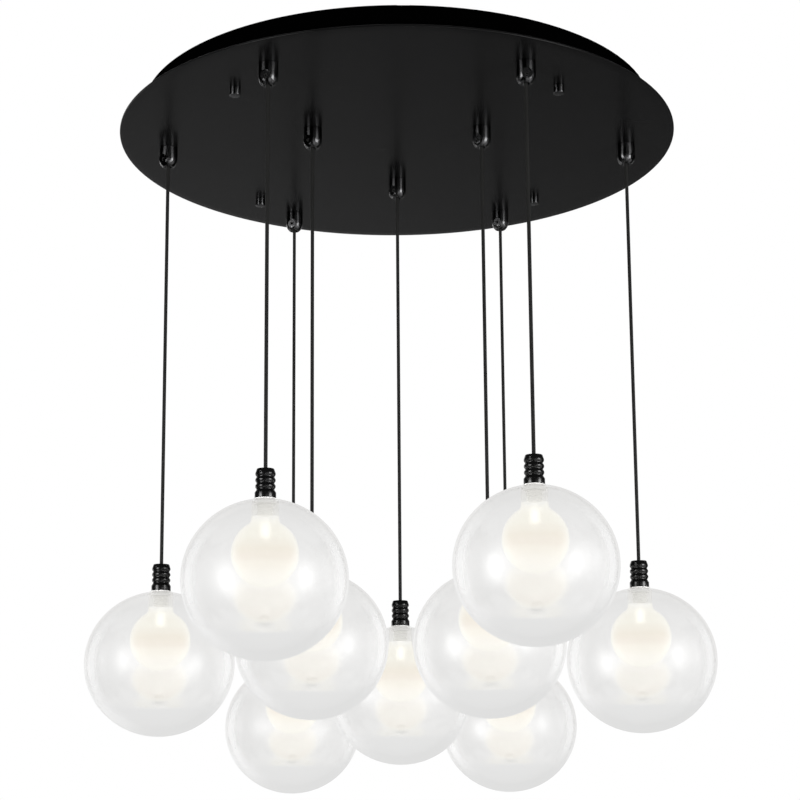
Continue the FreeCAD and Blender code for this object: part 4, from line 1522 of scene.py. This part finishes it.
@dataclass
class Studio:
    """The camera at the photograph's place, a white world, a pale floor and soft lights.

    Around the lamp, shares of a turn are read from a radial gradient, which grows from 0
    to 1 anticlockwise: 0.25 is the camera's side and 0.75 is behind the lamp. The strips
    are (from, to, light), in degrees from the camera's side. Distances on the floor are
    shares of the far distance.
    """

    eye: tuple[float, float, float] = (-0.003, -1.75, -0.7218)
    yaw: float = 0.111
    pitch: float = 10.144
    roll: float = -0.433
    sensor_width: float = 36.0
    lens: float = 78.32
    shift: float = 0.12
    clip_distance: float = 100.0
    camera_side: float = 0.25
    floor_height: float = -1.7
    floor_reach: float = 30.0
    floor_paint: Colour = (0.8, 0.8, 0.8)
    floor_roughness: float = 0.9
    floor_grey: float = 0.01
    pale_grey: float = 0.23
    pale_from: float = 0.6
    pale_peak: Stops = ((0.7, 0.7), (0.8, 1.35))
    pale_to: float = 0.9
    far_distance: float = 6.0
    white_by_distance: Stops = ((0.4, 0.85), (1.0, 1.0))
    room_grey: float = 0.35
    front_grey: float = 0.03
    back_grey: float = 0.85
    strips: tuple[tuple[float, float, float], ...] = (
        (8, 50, 2.4),
        (60, 102, 1.6),
        (215, 238, 2.8),
    )
    strip_blur: float = 0.004
    strips_by_height: Stops = ((0.52, 1.0), (0.58, 0.0))
    strips_by_distance: Stops = ((0.3, 0.0), (0.4, 1.0), (0.8, 1.0), (1.0, 0.0))
    boxes: tuple[Softbox, ...] = (
        Softbox("box_right", 54, 0, 2.2, 1.0, 1.0, 50),
        Softbox("box_left", -47, 0, 2.2, 0.95, 1.0, 43),
    )

    def camera(self) -> None:
        """The camera: pitched up, with the vertical shift that the framing needs."""
        data = bpy.data.cameras.new("camera")
        data.sensor_width = self.sensor_width
        data.lens = self.lens
        data.shift_y = self.shift
        data.clip_end = self.clip_distance
        item = placed("camera", data)
        item.location = self.eye
        aim = Euler((math.radians(90 + self.pitch), 0, math.radians(-self.yaw)))
        tilt = Euler((0, 0, math.radians(self.roll)))
        item.rotation_euler = (aim.to_matrix() @ tilt.to_matrix()).to_euler()
        bpy.context.scene.camera = item

    def surroundings(
        self, shader: Shader, towards: bpy.types.NodeSocket, dark: float, pale: float
    ) -> tuple[Maths, Maths]:
        """What reflections meet round the lamp: strips of light, and dark that is pale behind.

        Args:
            shader: the material or world that shows them.
            towards: the direction or place that is looked at.
            dark: the grey of the camera's side.
            pale: the grey behind the lamp.

        Returns:
            The strips' light and the grey between them.
        """
        radial = shader.node(
            "ShaderNodeTexGradient", {"gradient_type": "RADIAL"}, {"Vector": towards}
        )
        azimuth = radial.outputs["Fac"]
        blur = self.strip_blur
        stops = []
        for start, end, light in self.strips:
            low, high = self.camera_side + start / 360, self.camera_side + end / 360
            stops += [(low - blur, 0.0), (low + blur, light), (high - blur, light), (high + blur, 0.0)]
        peak = [(place, pale * share) for place, share in self.pale_peak]
        around = [(self.pale_from, dark), *peak, (self.pale_to, dark)]
        return shader.graded(azimuth, stops), shader.graded(azimuth, around)

    def world(self) -> None:
        """A world that is white to the camera. In reflections it is dark, with strips of light."""
        world = bpy.data.worlds.new("studio")
        shader = Shader(world)
        towards = shader.node("ShaderNodeTexCoord").outputs["Generated"]
        height = shader.part_of(towards, "Z") * 0.5 + 0.5
        reach = shader.graded(height, self.strips_by_height)
        strips, around = self.surroundings(shader, towards, self.front_grey, self.back_grey)
        mirrored, room, white = (
            shader.light(colour, kind="Background")
            for colour in (strips * reach + around, (self.room_grey,) * 3, WHITE)
        )
        unseen = shader.mixed(shader.ray("Glossy"), room, mirrored)
        surface = shader.mixed(shader.ray("Camera"), unseen, white)
        shader.finish(surface, "ShaderNodeOutputWorld")
        bpy.context.scene.world = world

    def floor(self) -> None:
        """A wide pale floor that is white to the camera but for a faint shadow.

        In reflections it is dark, pale behind, and the strips of light lie on it as well.
        """
        reach = self.floor_reach
        mesh = bpy.data.meshes.new("floor")
        corners = [(-reach, -reach), (reach, -reach), (reach, reach), (-reach, reach)]
        mesh.from_pydata([(x, y, self.floor_height) for x, y in corners], [], [[0, 1, 2, 3]])
        material = bpy.data.materials.new("floor_white")
        shader = Shader(material)
        place = shader.place()
        length = shader.node("ShaderNodeVectorMath", {"operation": "LENGTH"}, {0: place})
        away = Maths(shader, length.outputs["Value"]) * (1 / self.far_distance)
        nearby = shader.graded(away, self.strips_by_distance)
        strips, around = self.surroundings(shader, place, self.floor_grey, self.pale_grey)
        paint = shader.principled(
            {"Base Color": self.floor_paint, "Roughness": self.floor_roughness}
        )
        lit = shader.mixed(shader.ray("Glossy"), paint, shader.light(strips * nearby + around))
        share = shader.ray("Camera") * shader.graded(away, self.white_by_distance)
        shader.finish(shader.mixed(share, lit, shader.light(WHITE)))
        mesh.materials.append(material)
        placed("floor", mesh)

    def build(self) -> None:
        """Sets the studio up."""
        self.camera()
        self.world()
        self.floor()
        for box in self.boxes:
            box.build()
        bpy.context.scene.view_settings.view_transform = "Standard"


def main() -> None:
    """Builds the studio, the cords, the canopy and the nine lamps."""
    logging.basicConfig(level=logging.INFO, format="%(name)s: %(message)s")
    Studio().build()
    lamps = [HangingLamp(number) for number in range(1, LAMP_COUNT + 1)]
    for lamp in lamps:
        lamp.cord()
    Canopy().build([lamp.cord_ends[0] for lamp in lamps])
    patterns = {
        Part.SHELL: SocketShell().pattern(),
        Part.INNER_GLASS: InnerGlass().pattern(),
        Part.GLOBE: Globe().pattern(),
    }
    core = SocketCore().patterns()
    for lamp in lamps:
        lamp.build(patterns, core)


if __name__ == "__main__":
    main()
